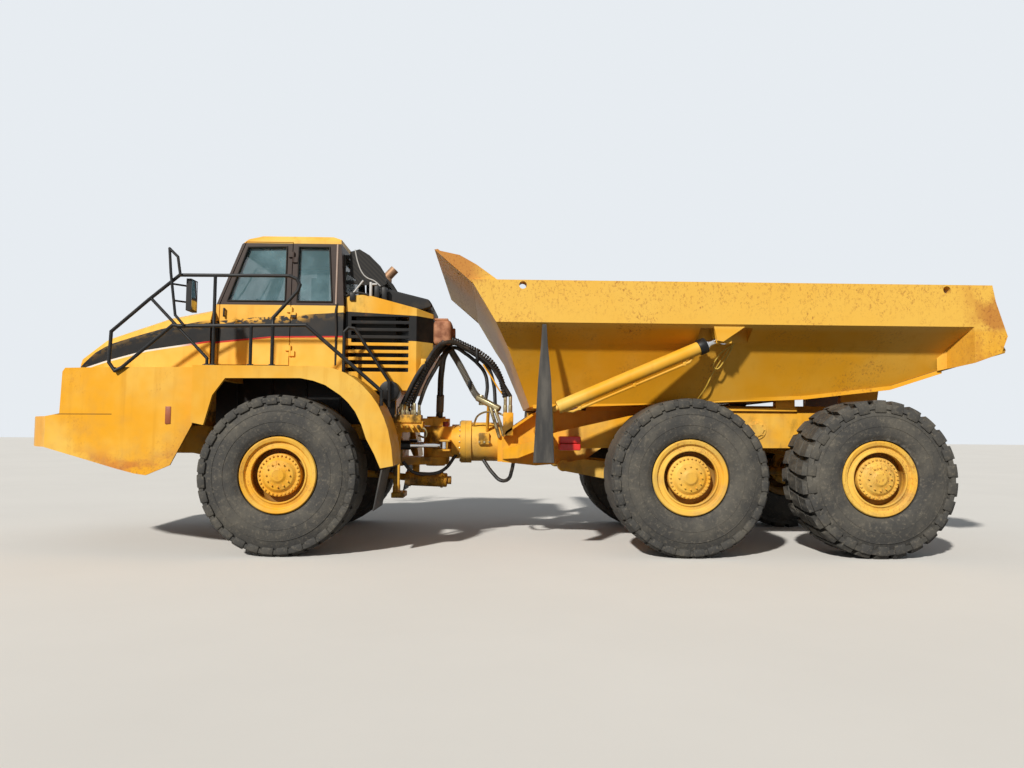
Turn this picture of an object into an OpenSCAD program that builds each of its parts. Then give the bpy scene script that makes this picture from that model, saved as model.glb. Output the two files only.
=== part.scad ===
// Articulated dump truck with three axles, parked empty with its body down.
// Millimetres. +X points to the tail, +Z up, the driver's door is on the -Y side.
// The origin lies on the ground, in the middle of the truck's length and width.

/* [Layout] */
// Reach of the bumper ahead of the front axle
front_reach = 3000; // [2900:10:3200]
// Reach of the body's tail lip behind the front axle
rear_reach = 7800; // [7700:10:8000]
// Front axle to middle axle
wheelbase = 4245; // [4200:5:4300]
// Middle axle to rear axle
bogie_spacing = 1985; // [1960:5:2020]
// Front axle to the upright steering pin
steer_back = 1490; // [1480:5:1510]
// Front axle to the dump body's pivot
tip_back = 6550; // [6520:5:6580]
// Height of the dump body's pivot
tip_z = 1370; // [1350:5:1390]

/* [Wheels] */
// Outer radius of a tyre over its lugs
tyre_r = 825; // [800:5:840]
// Width of a tyre
tyre_w = 670; // [650:5:690]
// Depth of the lugs on the rear tyres
lug_depth = 45; // [30:1:55]
// Lugs round one rear tyre
rear_lugs = 26; // [20:1:30]
// Depth of the worn shoulder lugs on the other tyres
worn_depth = 22; // [12:1:30]
// Shoulder lugs round one worn tyre
worn_lugs = 32; // [24:1:36]
// Distance between the middles of the left and right tyres
track = 2630; // [2600:5:2650]
// Radius of the rim's bead seat
rim_r = 317; // [310:1:325]
// Radius of the rim's outer flange
flange_r = 398; // [385:1:405]
// Radius of the round opening in the rim's face
rim_mouth_r = 275; // [265:1:285]
// Radius of the hub's cap
hub_r = 190; // [170:5:200]
// Radius of the spindle that a wheel turns on
spindle_r = 80; // [60:5:90]

/* [Frames] */
// Distance from the middle to a front rail's inner face
front_rail_in = 400; // [380:5:420]
// Thickness of a frame rail
rail_t = 60; // [45:5:70]
// Top of the front rails
front_rail_top = 1330; // [1320:5:1350]
// Underside of the front rails
front_rail_low = 1010; // [1000:5:1030]
// Distance from the middle to a rear rail's inner face
rear_rail_in = 380; // [370:5:400]
// Top of the rear rails
rear_rail_top = 1543; // [1530:1:1550]
// Underside of the rear rails
rear_rail_low = 1118; // [1100:2:1130]
// Radius of the upright steering pin
steer_pin_r = 75; // [60:5:85]
// Height of the line that the rear frame rolls about
roll_z = 1160; // [1150:5:1170]
// Radius of the trunnion that the rear frame rolls on
trunnion_r = 150; // [130:5:160]

/* [Nose and hood] */
// Half width of the nose at its front
nose_half_front = 1250; // [1230:5:1270]
// Half width of the nose where it meets the fenders
nose_half_rear = 1560; // [1540:5:1580]
// Thickness of a sheet panel
panel_t = 20; // [12:1:25]
// Height of the seam between the nose and the hood
hood_seam_z = 1930; // [1920:1:1940]
// Half width of the hood
hood_half = 960; // [940:5:980]

/* [Cab] */
// Half width of the cab at its floor
cab_half = 850; // [840:2:860]
// Half width of the cab at its roof
cab_roof_half = 770; // [750:5:790]
// Height of the cab's roof
cab_top = 3520; // [3480:5:3540]
// Height of the cab's floor, underside
cab_floor_z = 1950; // [1940:1:1960]
// Thickness of the cab's walls and door
cab_wall = 60; // [40:2:70]
// Gap round the cab's door
door_gap = 8; // [6:1:12]
// Thickness of the window glass
glass_t = 8; // [5:1:12]

/* [Fenders] */
// Half width over the fenders
fender_half = 1650; // [1630:5:1670]
// Top of the fender decks
deck_z = 1946; // [1936:2:1956]
// Thickness of a fender's plate
fender_t = 40; // [25:5:50]

/* [Dump body] */
// Half width over the body's top rails
body_half = 1600; // [1580:5:1620]
// How far the foot of the body's wall under the rail stands in from its side
wall_inset = 300; // [290:5:320]
// Half width of the body's floor
floor_half = 940; // [920:5:950]
// Top of the body's rails
body_top = 2875; // [2850:5:2900]
// Underside of the body's rails
rail_low = 2430; // [2410:5:2450]
// Thickness of the body's floor and walls
body_t = 30; // [20:2:36]

/* [Cylinders] */
// Distance from the body's side in to a hoist cylinder's line
hoist_inset = 140; // [130:2:150]
// Radius of a hoist cylinder's barrel
hoist_r = 70; // [66:1:90]
// Distance from the middle to a steering cylinder's barrel pin
steer_cyl_y = 520; // [515:1:530]
// Radius of a steering cylinder's barrel
steer_cyl_r = 55; // [45:1:60]

/* [Hidden] */

// Facets on small and on large round forms
$fn = 64;
big_fn = 180;
// Running clearance of a pin in its bore
run_gap = 0.5;
// Working clearance between pieces that move past each other
move_gap = 6;

left = -1;
right = 1;
front_x = (front_reach - rear_reach) / 2;
middle_x = front_x + wheelbase;
rear_x = middle_x + bogie_spacing;
steer_x = front_x + steer_back;
hoist_y = body_half - hoist_inset;
wall_half = body_half - wall_inset;
tip_x = front_x + tip_back;
axle_z = tyre_r;
wheel_y = track / 2;
front_rail_out = front_rail_in + rail_t;
rear_rail_out = rear_rail_in + rail_t;

yellow = "#e0a030";
dark = "#26282a";
rubber = "#2b2b2c";
steel = "#8c8f92";

// A place so many millimetres behind the front axle
function fx(d) = front_x + d;

// Extrudes a side view, drawn in X and Z, from one Y to another
module side_on(y_low, y_high) {
    translate([0, y_high, 0])
        rotate([90, 0, 0])
            linear_extrude(y_high - y_low)
                children();
}

// Extrudes a front view, drawn in Y and Z, from one X to another
module front_on(x_low, x_high) {
    translate([x_low, 0, 0])
        rotate([90, 0, 90])
            linear_extrude(x_high - x_low)
                children();
}

// A box from its lowest to its highest corner
module block(low, high) {
    translate(low)
        cube(high - low);
}

// The same thing on both sides
module both_sides() {
    children();
    mirror([0, 1, 0])
        children();
}

// A round bar along Y
module bar_y(x, z, r, y_low, y_high) {
    translate([x, y_high, z])
        rotate([90, 0, 0])
            cylinder(r = r, h = y_high - y_low);
}

// A round bar along Z
module bar_z(x, y, r, z_low, z_high) {
    translate([x, y, z_low])
        cylinder(r = r, h = z_high - z_low);
}

// A round bar along X
module bar_x(y, z, r, x_low, x_high) {
    translate([x_low, y, z])
        rotate([0, 90, 0])
            cylinder(r = r, h = x_high - x_low);
}

// A round bar between two points
module rod_between(a, b, r) {
    d = b - a;
    len = norm(d);
    translate(a)
        rotate([0, acos(d.z / len), atan2(d.y, d.x)])
            cylinder(r = r, h = len);
}

// Tubes along a path of points, with a ball at each bend
module tube_path(points, r) {
    for (i = [0 : len(points) - 2])
        rod_between(points[i], points[i + 1], r);
    for (i = [1 : len(points) - 2])
        translate(points[i])
            sphere(r = r * 1.04);
}

/* The tractor's frame */

lug_top = 1440;
lug_low = 880;
lug_t = 90;
engine_z = 1150;
tower_t = 80;
cab_tower_front = -820;
cab_tower_rear = 300;
strut_y = 640;
strut_top = 1390;
strut_seat = 980;
steer_cyl_z = 1120;
steer_cyl_x = 470;
steer_cyl_pin_r = 30;
fork_t = 20;
rail_step_z = steer_cyl_z + 72;
eye_half = 40;
a_frame_x = -900;

module steering_lug(z) {
    translate([0, 0, z])
        linear_extrude(lug_t)
            union() {
                polygon([[fx(1060), -330], [fx(1060), 330],
                    [steer_x - 40, 165], [steer_x - 40, -165]]);
                translate([steer_x, 0])
                    circle(r = 170);
            }
}

// Two plates above and below a steering cylinder's eye
module steering_fork(x_low, x_high, y_low, y_high) {
    for (z = [steer_cyl_z + eye_half + move_gap,
            steer_cyl_z - eye_half - move_gap - fork_t])
        block([x_low, y_low, z], [x_high, y_high, z + fork_t]);
}

module front_frame() {
    color(yellow) {
        both_sides() {
            side_on(front_rail_in, front_rail_out)
                polygon([[fx(-2350), 1120], [fx(-2350), front_rail_top],
                    [fx(1120), front_rail_top], [fx(1120), rail_step_z],
                    [fx(400), rail_step_z], [fx(330), front_rail_low],
                    [fx(-1900), front_rail_low]]);
            for (x = [cab_tower_front, cab_tower_rear])
                block([fx(x), front_rail_in, front_rail_top - 1],
                    [fx(x) + tower_t, front_rail_out, cab_floor_z]);
            block([front_x - 120, front_rail_in, front_rail_top - 1],
                [front_x + 120, front_rail_out, strut_top + 40]);
            block([front_x - 90, front_rail_in, strut_top],
                [front_x + 90, strut_y + 80, strut_top + 40]);
            // Bracket of the steering cylinder's barrel
            steering_fork(fx(steer_cyl_x) - 110, fx(steer_cyl_x) + 60,
                front_rail_in, steer_cyl_y + 60);
            block([fx(steer_cyl_x) - 140, front_rail_in,
                    steer_cyl_z - eye_half - move_gap - fork_t],
                [fx(steer_cyl_x) - 80, steer_cyl_y + 60, rail_step_z + 20]);
            block([fx(steer_cyl_x) - 110, front_rail_in, rail_step_z - 12],
                [fx(steer_cyl_x) + 60, front_rail_out, rail_step_z + 20]);
            bar_z(fx(steer_cyl_x), steer_cyl_y, steer_cyl_pin_r,
                steer_cyl_z - eye_half - move_gap - fork_t,
                steer_cyl_z + eye_half + move_gap + fork_t);
        }
        // Cross members under the engine: place, length
        for (m = [[-1900, 100], [-1150, 250]])
            block([fx(m[0]), -front_rail_in - 1, 1050],
                [fx(m[0] + m[1]), front_rail_in + 1, engine_z]);
        block([fx(a_frame_x) - 100, -120, 860], [fx(a_frame_x), 120, 1100]);
        block([fx(-2350), -front_rail_in - 1, 1140],
            [fx(-2300), front_rail_in + 1, 1300]);
        // Bulkhead that carries the steering lugs
        block([fx(1060), -345, lug_low - 10], [fx(1120), 345, lug_top + 10]);
        block([fx(980), -front_rail_in - 1, 1200],
            [fx(1119), front_rail_in + 1, front_rail_top]);
        steering_lug(lug_top - lug_t);
        steering_lug(lug_low);
        bar_z(steer_x, 0, steer_pin_r, lug_low, lug_top);
        bar_z(steer_x, 0, 115, lug_top - 1, lug_top + 25);
        bar_z(steer_x, 0, 115, lug_low - 18, lug_low + 1);
    }
}

/* Nose, grille and hood */

bumper_low = 1088;
bumper_top = 1416;
nose_top = hood_seam_z - 0.3;
lamp_r = 75;
lamp_z = 1640;
lamp_places = [800, 980];
hood_back = -966;

module nose_plan(inset) {
    f = nose_half_front - inset;
    r = nose_half_rear - inset;
    polygon([[fx(-2570) + inset, -f], [fx(-2570) + inset, f],
        [fx(-1700), f + (r - f) * 0.75], [fx(-1113), r],
        [fx(-800), r], [fx(-800), -r], [fx(-1113), -r],
        [fx(-1700), -f - (r - f) * 0.75]]);
}

module nose_side() {
    polygon([[fx(-2575), bumper_low], [fx(-2575), bumper_top],
        [fx(-2400), bumper_top + 30], [fx(-2382), 1888],
        [fx(-2350), nose_top], [fx(-890), nose_top], [fx(-890), 1360],
        [fx(-1113), 919], [fx(-1371), 813], [fx(-1500), 830]]);
}

module bumper_plan(inset) {
    polygon([[fx(-front_reach) + inset, -700], [fx(-front_reach) + inset, 700],
        [fx(-2840) + inset, 950], [fx(-2560) + inset, nose_half_front - inset],
        [fx(-2400) + inset * 3, nose_half_front - inset],
        [fx(-2400) + inset * 3, -nose_half_front + inset],
        [fx(-2560) + inset, -nose_half_front + inset],
        [fx(-2840) + inset, -950]]);
}

module nose_body() {
    color(yellow)
        difference() {
            union() {
                intersection() {
                    translate([0, 0, 800])
                        linear_extrude(1200)
                            nose_plan(0);
                    side_on(-nose_half_rear - 10, nose_half_rear + 10)
                        nose_side();
                }
                translate([0, 0, bumper_low])
                    linear_extrude(bumper_top - bumper_low)
                        bumper_plan(0);
            }
            // Hollow behind the skin, open below and behind
            translate([0, 0, 700])
                linear_extrude(nose_top - panel_t - 700)
                    nose_hollow();
            // Engine bay under the hood
            block([fx(-2362), -hood_half + 70, 1500], [fx(-800), hood_half - 70, 2000]);
            translate([0, 0, bumper_low - 1])
                linear_extrude(bumper_top - bumper_low - panel_t + 1)
                    bumper_plan(panel_t);
            // Mouth of the grille
            block([fx(-2700), -700, bumper_top + 40],
                [fx(-2200), 700, nose_top + 1]);
            for (y = lamp_places, s = [left, right])
                bar_x(s * y, lamp_z, lamp_r + 0.3, fx(-2450), fx(-2300));
        }
    color(yellow)
        both_sides()
            block([fx(-2300), front_rail_in, front_rail_top],
                [fx(-2220), nose_half_front - panel_t + 25, front_rail_top + 60]);
}

module nose_hollow() {
    f = nose_half_front - panel_t;
    r = nose_half_rear - panel_t;
    polygon([[fx(-2362), -f], [fx(-2362), f],
        [fx(-1700), f + (r - f) * 0.75], [fx(-1113), r],
        [fx(-700), r], [fx(-700), -r], [fx(-1113), -r],
        [fx(-1700), -f - (r - f) * 0.75]]);
}

module front_grille() {
    color(dark) {
        for (i = [0 : 8])
            block([fx(-2395), -690, bumper_top + 50 + i * 52],
                [fx(-2375), 690, bumper_top + 76 + i * 52]);
        for (y = [-680, -230, 220, 670])
            block([fx(-2376), y - 10, bumper_top + 40],
                [fx(-2362), y + 10, nose_top]);
    }
}

// Stations of the hood: distance behind the front axle, height, half width
HOOD = [[-2520, 1960, 700], [-2455, 2090, 800], [-2150, 2313, 900],
    [-1467, 2540, 950], [hood_back, 2640, 960]];

module hood_station(s, inset) {
    half = s[2] * hood_half / 960 - inset;
    top = s[1] - inset;
    low = hood_seam_z - (inset > 0 ? 60 : 0);
    round_r = min(140, (top - low) / 2);
    translate([fx(s[0]), 0, 0])
        rotate([90, 0, 90])
            linear_extrude(1)
                polygon([[-half, low], [-half, top - round_r],
                    [-half + round_r * 0.35, top - round_r * 0.3],
                    [-half + round_r * 1.2, top],
                    [half - round_r * 1.2, top],
                    [half - round_r * 0.35, top - round_r * 0.3],
                    [half, top - round_r], [half, low]]);
}

module hood_form(inset, shift) {
    for (i = [0 : len(HOOD) - 2])
        hull() {
            translate([i == 0 ? shift : 0, 0, 0])
                hood_station(HOOD[i], inset);
            translate([i == len(HOOD) - 2 ? shift : 0, 0, 0])
                hood_station(HOOD[i + 1], inset);
        }
}

module hood() {
    color(yellow)
        difference() {
            hood_form(0, 0);
            hood_form(panel_t, panel_t);
        }
}

module headlights() {
    color("#d8dde0")
        both_sides()
            for (y = lamp_places)
                bar_x(y, lamp_z, lamp_r, fx(-2412), fx(-2362));
}

module engine_block() {
    color("#c9a13c")
        block([fx(-2200), -380, engine_z], [fx(-1000), 380, 2050]);
}

/* Fenders */

// The fender's outer curve, behind and above the front axle
OUTER_ARCH = [[-880, 1360], [-880, deck_z], [417, deck_z], [560, 1922],
    [673, 1880], [770, 1820], [850, 1755], [940, 1660], [1017, 1552],
    [1080, 1420], [1123, 1297], [1160, 1120], [1180, 931]];
INNER_ARCH = [[1049, 905], [985, 1050], [901, 1203], [850, 1350],
    [784, 1482], [710, 1575], [627, 1651], [472, 1752], [350, 1795],
    [216, 1821], [-545, 1814], [-671, 1639], [-753, 1333]];

function shifted(points) = [for (p = points) [fx(p[0]), p[1]]];

module front_fenders() {
    color(yellow)
        both_sides()
            union() {
                // Outer skirt
                side_on(fender_half - fender_t, fender_half)
                    polygon(concat(shifted(OUTER_ARCH), shifted(INNER_ARCH)));
                // Deck and rear wall that follow the outer curve
                difference() {
                    side_on(cab_half + 10, fender_half - 1)
                        polygon(shifted(concat([[-880, deck_z - fender_t]],
                            [for (i = [1 : len(OUTER_ARCH) - 1]) OUTER_ARCH[i]],
                            [[1140, 931], [1120, 1120], [1085, 1285], [1040, 1405],
                             [980, 1530], [905, 1633], [820, 1725], [745, 1787],
                             [655, 1842], [550, 1883], [417, 1906]])));
                    block([fx(500), cab_half, 800], [fx(1300), 980, 1990]);
                }
                // Brackets to the frame's towers
                for (x = [cab_tower_front, cab_tower_rear])
                    block([fx(x), front_rail_out, deck_z - fender_t - 80],
                        [fx(x) + tower_t, cab_half + 200, deck_z - fender_t + 1]);
            }
}

module mud_flaps() {
    color(rubber)
        both_sides()
            side_on(1000, 1600)
                polygon(shifted([[1150, 930.7], [1166, 930.7], [1162, 918],
                    [1064, 876], [986, 470], [972, 470], [1048, 886]]));
}

/* Cab */

cab_front = -960;
cab_rear = 480;
belt_z = 2700;
hinge_x = fx(-105);
hinge_out = 14;
hinge_r = 12;
hinge_h = 60;
hinge_places = [cab_floor_z + 170, belt_z - 140, cab_top - 320];
side_lean = (cab_half - cab_roof_half) / (cab_top - 60 - cab_floor_z);
door_front = -925;
door_rear = -115;
door_low = 2010;
door_top = cab_top - 80;
window_top = cab_top - 135;

// Distance behind the front axle of the cab's rear wall, above its belt
function cab_back(z) = cab_rear - 50 * (z - belt_z) / (cab_top - 40 - belt_z);

module cab_profile(inset) {
    polygon([[fx(cab_front) + inset, cab_floor_z + inset],
        [fx(cab_front) + inset, belt_z],
        [fx(-700) + inset, cab_top - 110 - inset * 0.6],
        [fx(-620) + inset * 0.8, cab_top - 45 - inset],
        [fx(-480), cab_top - inset],
        [fx(330), cab_top - inset], [fx(430) - inset, cab_top - 40 - inset],
        [fx(cab_rear) - inset, belt_z], [fx(cab_rear) - inset, cab_floor_z + inset]]);
}

module cab_section(inset) {
    f = cab_half - inset;
    r = cab_roof_half - inset;
    // The sides lean inward in one plane, which the door's hinge follows
    polygon([[-f, cab_floor_z + inset], [-r, cab_top - 60 - inset],
        [-r + 60, cab_top + 1 - inset], [r - 60, cab_top + 1 - inset],
        [r, cab_top - 60 - inset], [f, cab_floor_z + inset]]);
}

module cab_form(inset) {
    intersection() {
        side_on(-cab_half, cab_half)
            cab_profile(inset);
        front_on(fx(cab_front) - 1, fx(cab_rear) + 1)
            cab_section(inset);
    }
}

// Puts a hinge's piece on the door's leaning axis at a height
module on_hinge(z) {
    translate([hinge_x, -cab_half + side_lean * (z - cab_floor_z) - hinge_out, z])
        rotate([-atan(side_lean), 0, 0])
            children();
}

// The leaning slice of the left wall that the door fills
module door_zone(depth) {
    front_on(fx(cab_front) - 1, fx(cab_rear) + 1)
        polygon([[-cab_half - 1, cab_floor_z], [-cab_roof_half - 1, cab_top - 60],
            [-cab_roof_half + depth, cab_top - 60], [-cab_half + depth, cab_floor_z]]);
}

module door_outline(gap) {
    offset(delta = -gap)
        polygon([[fx(door_front), door_low], [fx(door_front), belt_z + 10],
            [fx(-655), door_top], [fx(door_rear), door_top],
            [fx(door_rear), door_low]]);
}

module front_side_window() {
    polygon([[fx(-835), belt_z + 50], [fx(-625), window_top - 10], [fx(-185), window_top],
        [fx(-185), belt_z + 50]]);
}

module rear_side_window() {
    polygon([[fx(-50), belt_z + 50], [fx(-50), window_top], [fx(300), window_top],
        [fx(345), belt_z + 50]]);
}

module cab_windows() {
    // Windscreen and rear window
    front_on(fx(cab_front) - 50, fx(-400))
        polygon([[-740, belt_z + 40], [-660, window_top - 45], [660, window_top - 45],
            [740, belt_z + 40]]);
    front_on(fx(300), fx(cab_rear) + 50)
        polygon([[-700, belt_z + 180], [-640, window_top - 65], [640, window_top - 65],
            [700, belt_z + 180]]);
    // Right side windows
    side_on(600, cab_half + 20) {
        front_side_window();
        rear_side_window();
    }
    // Left rear window
    side_on(-cab_half - 20, -600)
        rear_side_window();
}

module cab_shell() {
    color(yellow)
        difference() {
            cab_form(0);
            cab_form(cab_wall);
            cab_windows();
            intersection() {
                door_zone(cab_wall + move_gap);
                side_on(-cab_half - 20, -600)
                    door_outline(0);
            }
        }
    // Lower halves of the door's hinges
    color(yellow)
        for (z = hinge_places)
            on_hinge(z) {
                cylinder(r = hinge_r, h = hinge_h);
                block([0, -8, 0], [50, hinge_out + 1, hinge_h]);
            }
}

module cab_door() {
    color(yellow)
        difference() {
            intersection() {
                cab_form(0);
                door_zone(cab_wall);
                side_on(-cab_half - 20, -600)
                    door_outline(door_gap);
            }
            side_on(-cab_half - 20, -600)
                front_side_window();
        }
    // Upper halves of the hinges
    color(yellow)
        for (z = hinge_places)
            on_hinge(z)
                translate([0, 0, hinge_h + 0.3]) {
                    cylinder(r = hinge_r, h = hinge_h);
                    block([-55, -8, 0], [0, 6, hinge_h]);
                    block([-55, 5, 0], [-22, hinge_out + 1, hinge_h]);
                }
}

module pane_shell() {
    difference() {
        cab_form(cab_wall / 2 - glass_t / 2);
        cab_form(cab_wall / 2 + glass_t / 2);
    }
}

module door_glass() {
    color("#8fa39a", 0.5)
        intersection() {
            pane_shell();
            side_on(-cab_half - 20, -600)
                front_side_window();
        }
}

module cab_glass() {
    color("#8fa39a", 0.5)
        intersection() {
            pane_shell();
            cab_windows();
        }
}

module cab_interior() {
    floor_in = cab_floor_z + cab_wall;
    color(dark) {
        // Seat on its pedestal
        block([fx(-330), -170, floor_in], [fx(-50), 170, floor_in + 350]);
        block([fx(-400), -260, floor_in + 349], [fx(60), 260, floor_in + 480]);
        block([fx(-30), -240, floor_in + 479], [fx(80), 240, floor_in + 1120]);
        // Dashboard with the steering column
        block([fx(-880), -600, floor_in], [fx(-740), 600, floor_in + 620]);
        rod_between([fx(-760), 0, floor_in + 560], [fx(-600), 0, floor_in + 760], 30);
        translate([fx(-600), 0, floor_in + 760])
            rotate([0, 40, 0])
                rotate_extrude()
                    translate([190, 0])
                        circle(r = 16);
        for (a = [90, 210, 330])
            translate([fx(-600), 0, floor_in + 760])
                rotate([0, 40, 0])
                    rotate([0, 0, a])
                        rotate([0, 90, 0])
                            cylinder(r = 12, h = 190);
    }
}

/* Radiator, guard, cowl and exhaust */

rad_front = 490;
rad_rear = 1485;
rad_half = 740;
rad_top_front = 2850;
rad_top_rear = 2650;
rad_low = 1745;
slot_pitch = 84;
slot_h = 46;

// Height of the housing's sloping top
function rad_top(d) = rad_top_front
    + (rad_top_rear - rad_top_front) * (d - 720) / (rad_rear - 720);

module radiator_profile(inset) {
    polygon([[fx(rad_front) + inset, rad_low + inset],
        [fx(rad_front) + inset, rad_top_front - 20 - inset],
        [fx(720), rad_top_front - inset], [fx(rad_rear) - inset, rad_top_rear - inset],
        [fx(rad_rear) - inset, 2160], [fx(1215), rad_low + inset]]);
}

module radiator_housing() {
    color(yellow)
        difference() {
            union() {
                intersection() {
                    side_on(-rad_half, rad_half)
                        radiator_profile(0);
                    translate([0, 0, rad_low - 10])
                        linear_extrude(1200)
                            polygon([[fx(rad_front), -rad_half],
                                [fx(rad_rear) - 180, -rad_half],
                                [fx(rad_rear), -rad_half + 160],
                                [fx(rad_rear), rad_half - 160],
                                [fx(rad_rear) - 180, rad_half],
                                [fx(rad_front), rad_half]]);
                }
                block([fx(rad_front), -front_rail_out, front_rail_top],
                    [fx(1050), front_rail_out, rad_low + 20]);
            }
            side_on(-rad_half + panel_t, rad_half - panel_t)
                polygon([[fx(rad_front) + panel_t, rad_low + panel_t],
                    [fx(rad_front) + panel_t, rad_top_front - 20 - panel_t],
                    [fx(1280), 2640], [fx(1280), 2100], [fx(1100), rad_low + panel_t]]);
            for (i = [0 : 7])
                block([fx(i < 4 ? 470 : 560), -rad_half - 1,
                        1960 + i * slot_pitch],
                    [fx(1216), rad_half + 1, 1960 + i * slot_pitch + slot_h]);
        }
}

module radiator_core() {
    color(dark)
        block([fx(600), -680, rad_low + panel_t], [fx(1060), 680, 2640]);
}

module rear_window_guard() {
    color(dark)
        both_sides() {
            side_on(560, 590)
                polygon(shifted([[500, 3380], [608, 3412], [725, 3343], [855, 3215],
                    [914, 3122], [928, 3006], [859, 2964], [777, 2990],
                    [640, 2990], [500, 3100]]));
        }
    color(dark)
        for (i = [0 : 5])
            translate([fx(640 + i * 52), 0, 3370 - i * 62])
                rotate([0, 40, 0])
                    translate([-35, -561, -6])
                        cube([70, 1122, 12]);
    color(dark)
        both_sides()
            for (z = [3000, 3300])
                block([fx(cab_back(z)) - 0.9, 560, z], [fx(cab_rear) + 130, 590, z + 40]);
}

module air_cowl() {
    color(dark)
        side_on(-520, 520)
            polygon(shifted([[760, rad_top(760) + 0.3], [930, 2960], [1421, 2840],
                [1463, 2780], [1451, 2745], [1300, rad_top(1300) + 0.3]]));
}

module exhaust_stack() {
    color("#7a5a44") {
        bar_z(fx(760), 662, 60, rad_top(720) + 0.3, 3330);
        translate([fx(760), 662, 3330])
            sphere(r = 63);
        rod_between([fx(760), 662, 3330], [fx(860), 662, 3440], 60);
    }
}

/* Rails and mirrors */

tube_r = 20;
rail_y = 1600;

module handrails() {
    nose_y = 1512;
    inner_y = 1000;
    color(dark)
        both_sides() {
            // Lower rail, down to the fender behind
            tube_path([[fx(1040), rail_y - 20, 1546.1], [fx(1040), rail_y - 20, 1696],
                [fx(254), rail_y, 2374], [fx(-1057), rail_y, 2350]], tube_r);
            // Upper rail and the loop beside the nose
            tube_path([[fx(-89), rail_y, deck_z], [fx(-89), rail_y, 2444],
                [fx(160), rail_y, 2731], [fx(181), rail_y, 2793],
                [fx(145), rail_y, 2855], [fx(71), rail_y, 2886],
                [fx(-1057), rail_y, 2880], [fx(-1386), 1555, 2627],
                [fx(-1780), nose_y, 2297], [fx(-1792), nose_y, 1973],
                [fx(-1728), nose_y, 1887], [fx(-1656), nose_y, 1925],
                [fx(-1118), 1590, 2360], [fx(-1050), rail_y, 2352]], tube_r - 2);
            bar_y(fx(-1728), 1887, 10, 1478.2, nose_y);
            // Brace from the upper rail to the deck
            tube_path([[fx(-1364), 1558, 2644], [fx(-752), rail_y, 2019],
                [fx(-752), rail_y, deck_z]], tube_r - 4);
            bar_z(fx(-692), rail_y, tube_r - 3, deck_z, 2884);
            bar_z(fx(-310), rail_y, tube_r - 3, deck_z, 2366);
            // Inner rail of the way down over the fender
            tube_path([[fx(530), inner_y, 1930.1], [fx(530), inner_y, 2380],
                [fx(580), inner_y, 2432], [fx(645), inner_y, 2420],
                [fx(1040), inner_y, 1829], [fx(1040), inner_y, 1546.1]], tube_r - 1);
        }
}

module mirrors() {
    loop_r = 14;
    clamp_y = rail_y + tube_r + loop_r + 0.3;
    color(dark)
        both_sides() {
            tube_path([[fx(-985), clamp_y, 2352], [fx(-1077), clamp_y, 2458],
                [fx(-1136), clamp_y, 2901], [fx(-1156), clamp_y, 3149],
                [fx(-1068), clamp_y, 3063], [fx(-1037), clamp_y, 2870]], loop_r);
            for (z = [2610, 2780])
                rod_between([fx(-1106), clamp_y, z], [fx(-980), rail_y - 110, z], 10);
            block([fx(-1003), rail_y - 215, 2520], [fx(-953), rail_y - 40, 2853]);
        }
}

/* Axles and wheels */

bowl_r = 270;
axle_tube_r = 140;
brake_r = 230;
drive_r = 200;
disc_in = 1400;
disc_out = 1430;

module axle(x) {
    color(yellow) {
        both_sides() {
            bar_y(x, axle_z, axle_tube_r, 0, 1001);
            bar_y(x, axle_z, brake_r, 1000, 1030);
            bar_y(x, axle_z, drive_r, 1029, disc_in - 5);
            bar_y(x, axle_z, spindle_r, disc_in - 6, disc_out + 40);
            block([x - 110, strut_y - 80, axle_z], [x + 110, strut_y + 80, strut_seat]);
        }
        translate([x, 0, axle_z])
            rotate([0, 90, 0])
                rotate_extrude($fn = 96)
                    polygon([[0, -330], [90, -330], [110, -220], [200, -170],
                        [bowl_r, -60], [bowl_r, 60], [180, 190], [60, 210], [0, 210]]);
    }
}

module front_axle() {
    axle(front_x);
    color(yellow)
        translate([0, 0, 880])
            linear_extrude(80)
                polygon([[fx(a_frame_x), -70], [fx(a_frame_x), 70],
                    [front_x - 80, 460], [front_x - 80, 300],
                    [front_x - 250, 100], [front_x - 250, -100],
                    [front_x - 80, -300], [front_x - 80, -460]]);
}

module middle_axle() {
    axle(middle_x);
    // Arms that hold the axle to the frame
    color(yellow)
        both_sides()
            difference() {
                side_on(arm_y, arm_y + arm_t)
                    union() {
                        polygon(shifted([[arm_pin_x, 840], [arm_pin_x, 930],
                            [3254, 977], [3464, 955], [4200, 890], [4200, 790],
                            [3464, 758]]));
                        translate([fx(arm_pin_x), arm_pin_z])
                            circle(r = 66);
                    }
                bar_y(fx(arm_pin_x), arm_pin_z, arm_pin_r + run_gap, arm_y - 10,
                    arm_y + arm_t + 10);
            }
}

module drive_shafts() {
    color(dark) {
        // From the neck to the middle axle, and on to the rear axle
        rod_between([fx(2391), 0, 1090], [middle_x - 400, 0, axle_z], 55);
        translate([middle_x - 400, 0, axle_z])
            sphere(r = 70);
        bar_x(0, axle_z, 60, middle_x - 401, middle_x - 350);
        bar_x(0, axle_z, 85, middle_x - 351, middle_x - 330.3);
        translate([fx(2391), 0, 1090])
            sphere(r = 70);
        bar_x(0, 1090, 60, fx(2301.3), fx(2391));
        bar_x(0, axle_z, 50, middle_x + 210.3, rear_x - 350);
        bar_x(0, axle_z, 85, rear_x - 351, rear_x - 330.3);
    }
}

module rear_axle() {
    axle(rear_x);
}

module front_struts() {
    color(steel)
        both_sides() {
            bar_z(front_x, strut_y, 70, 1180, strut_top);
            bar_z(front_x, strut_y, 42, strut_seat, 1181);
        }
}

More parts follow.
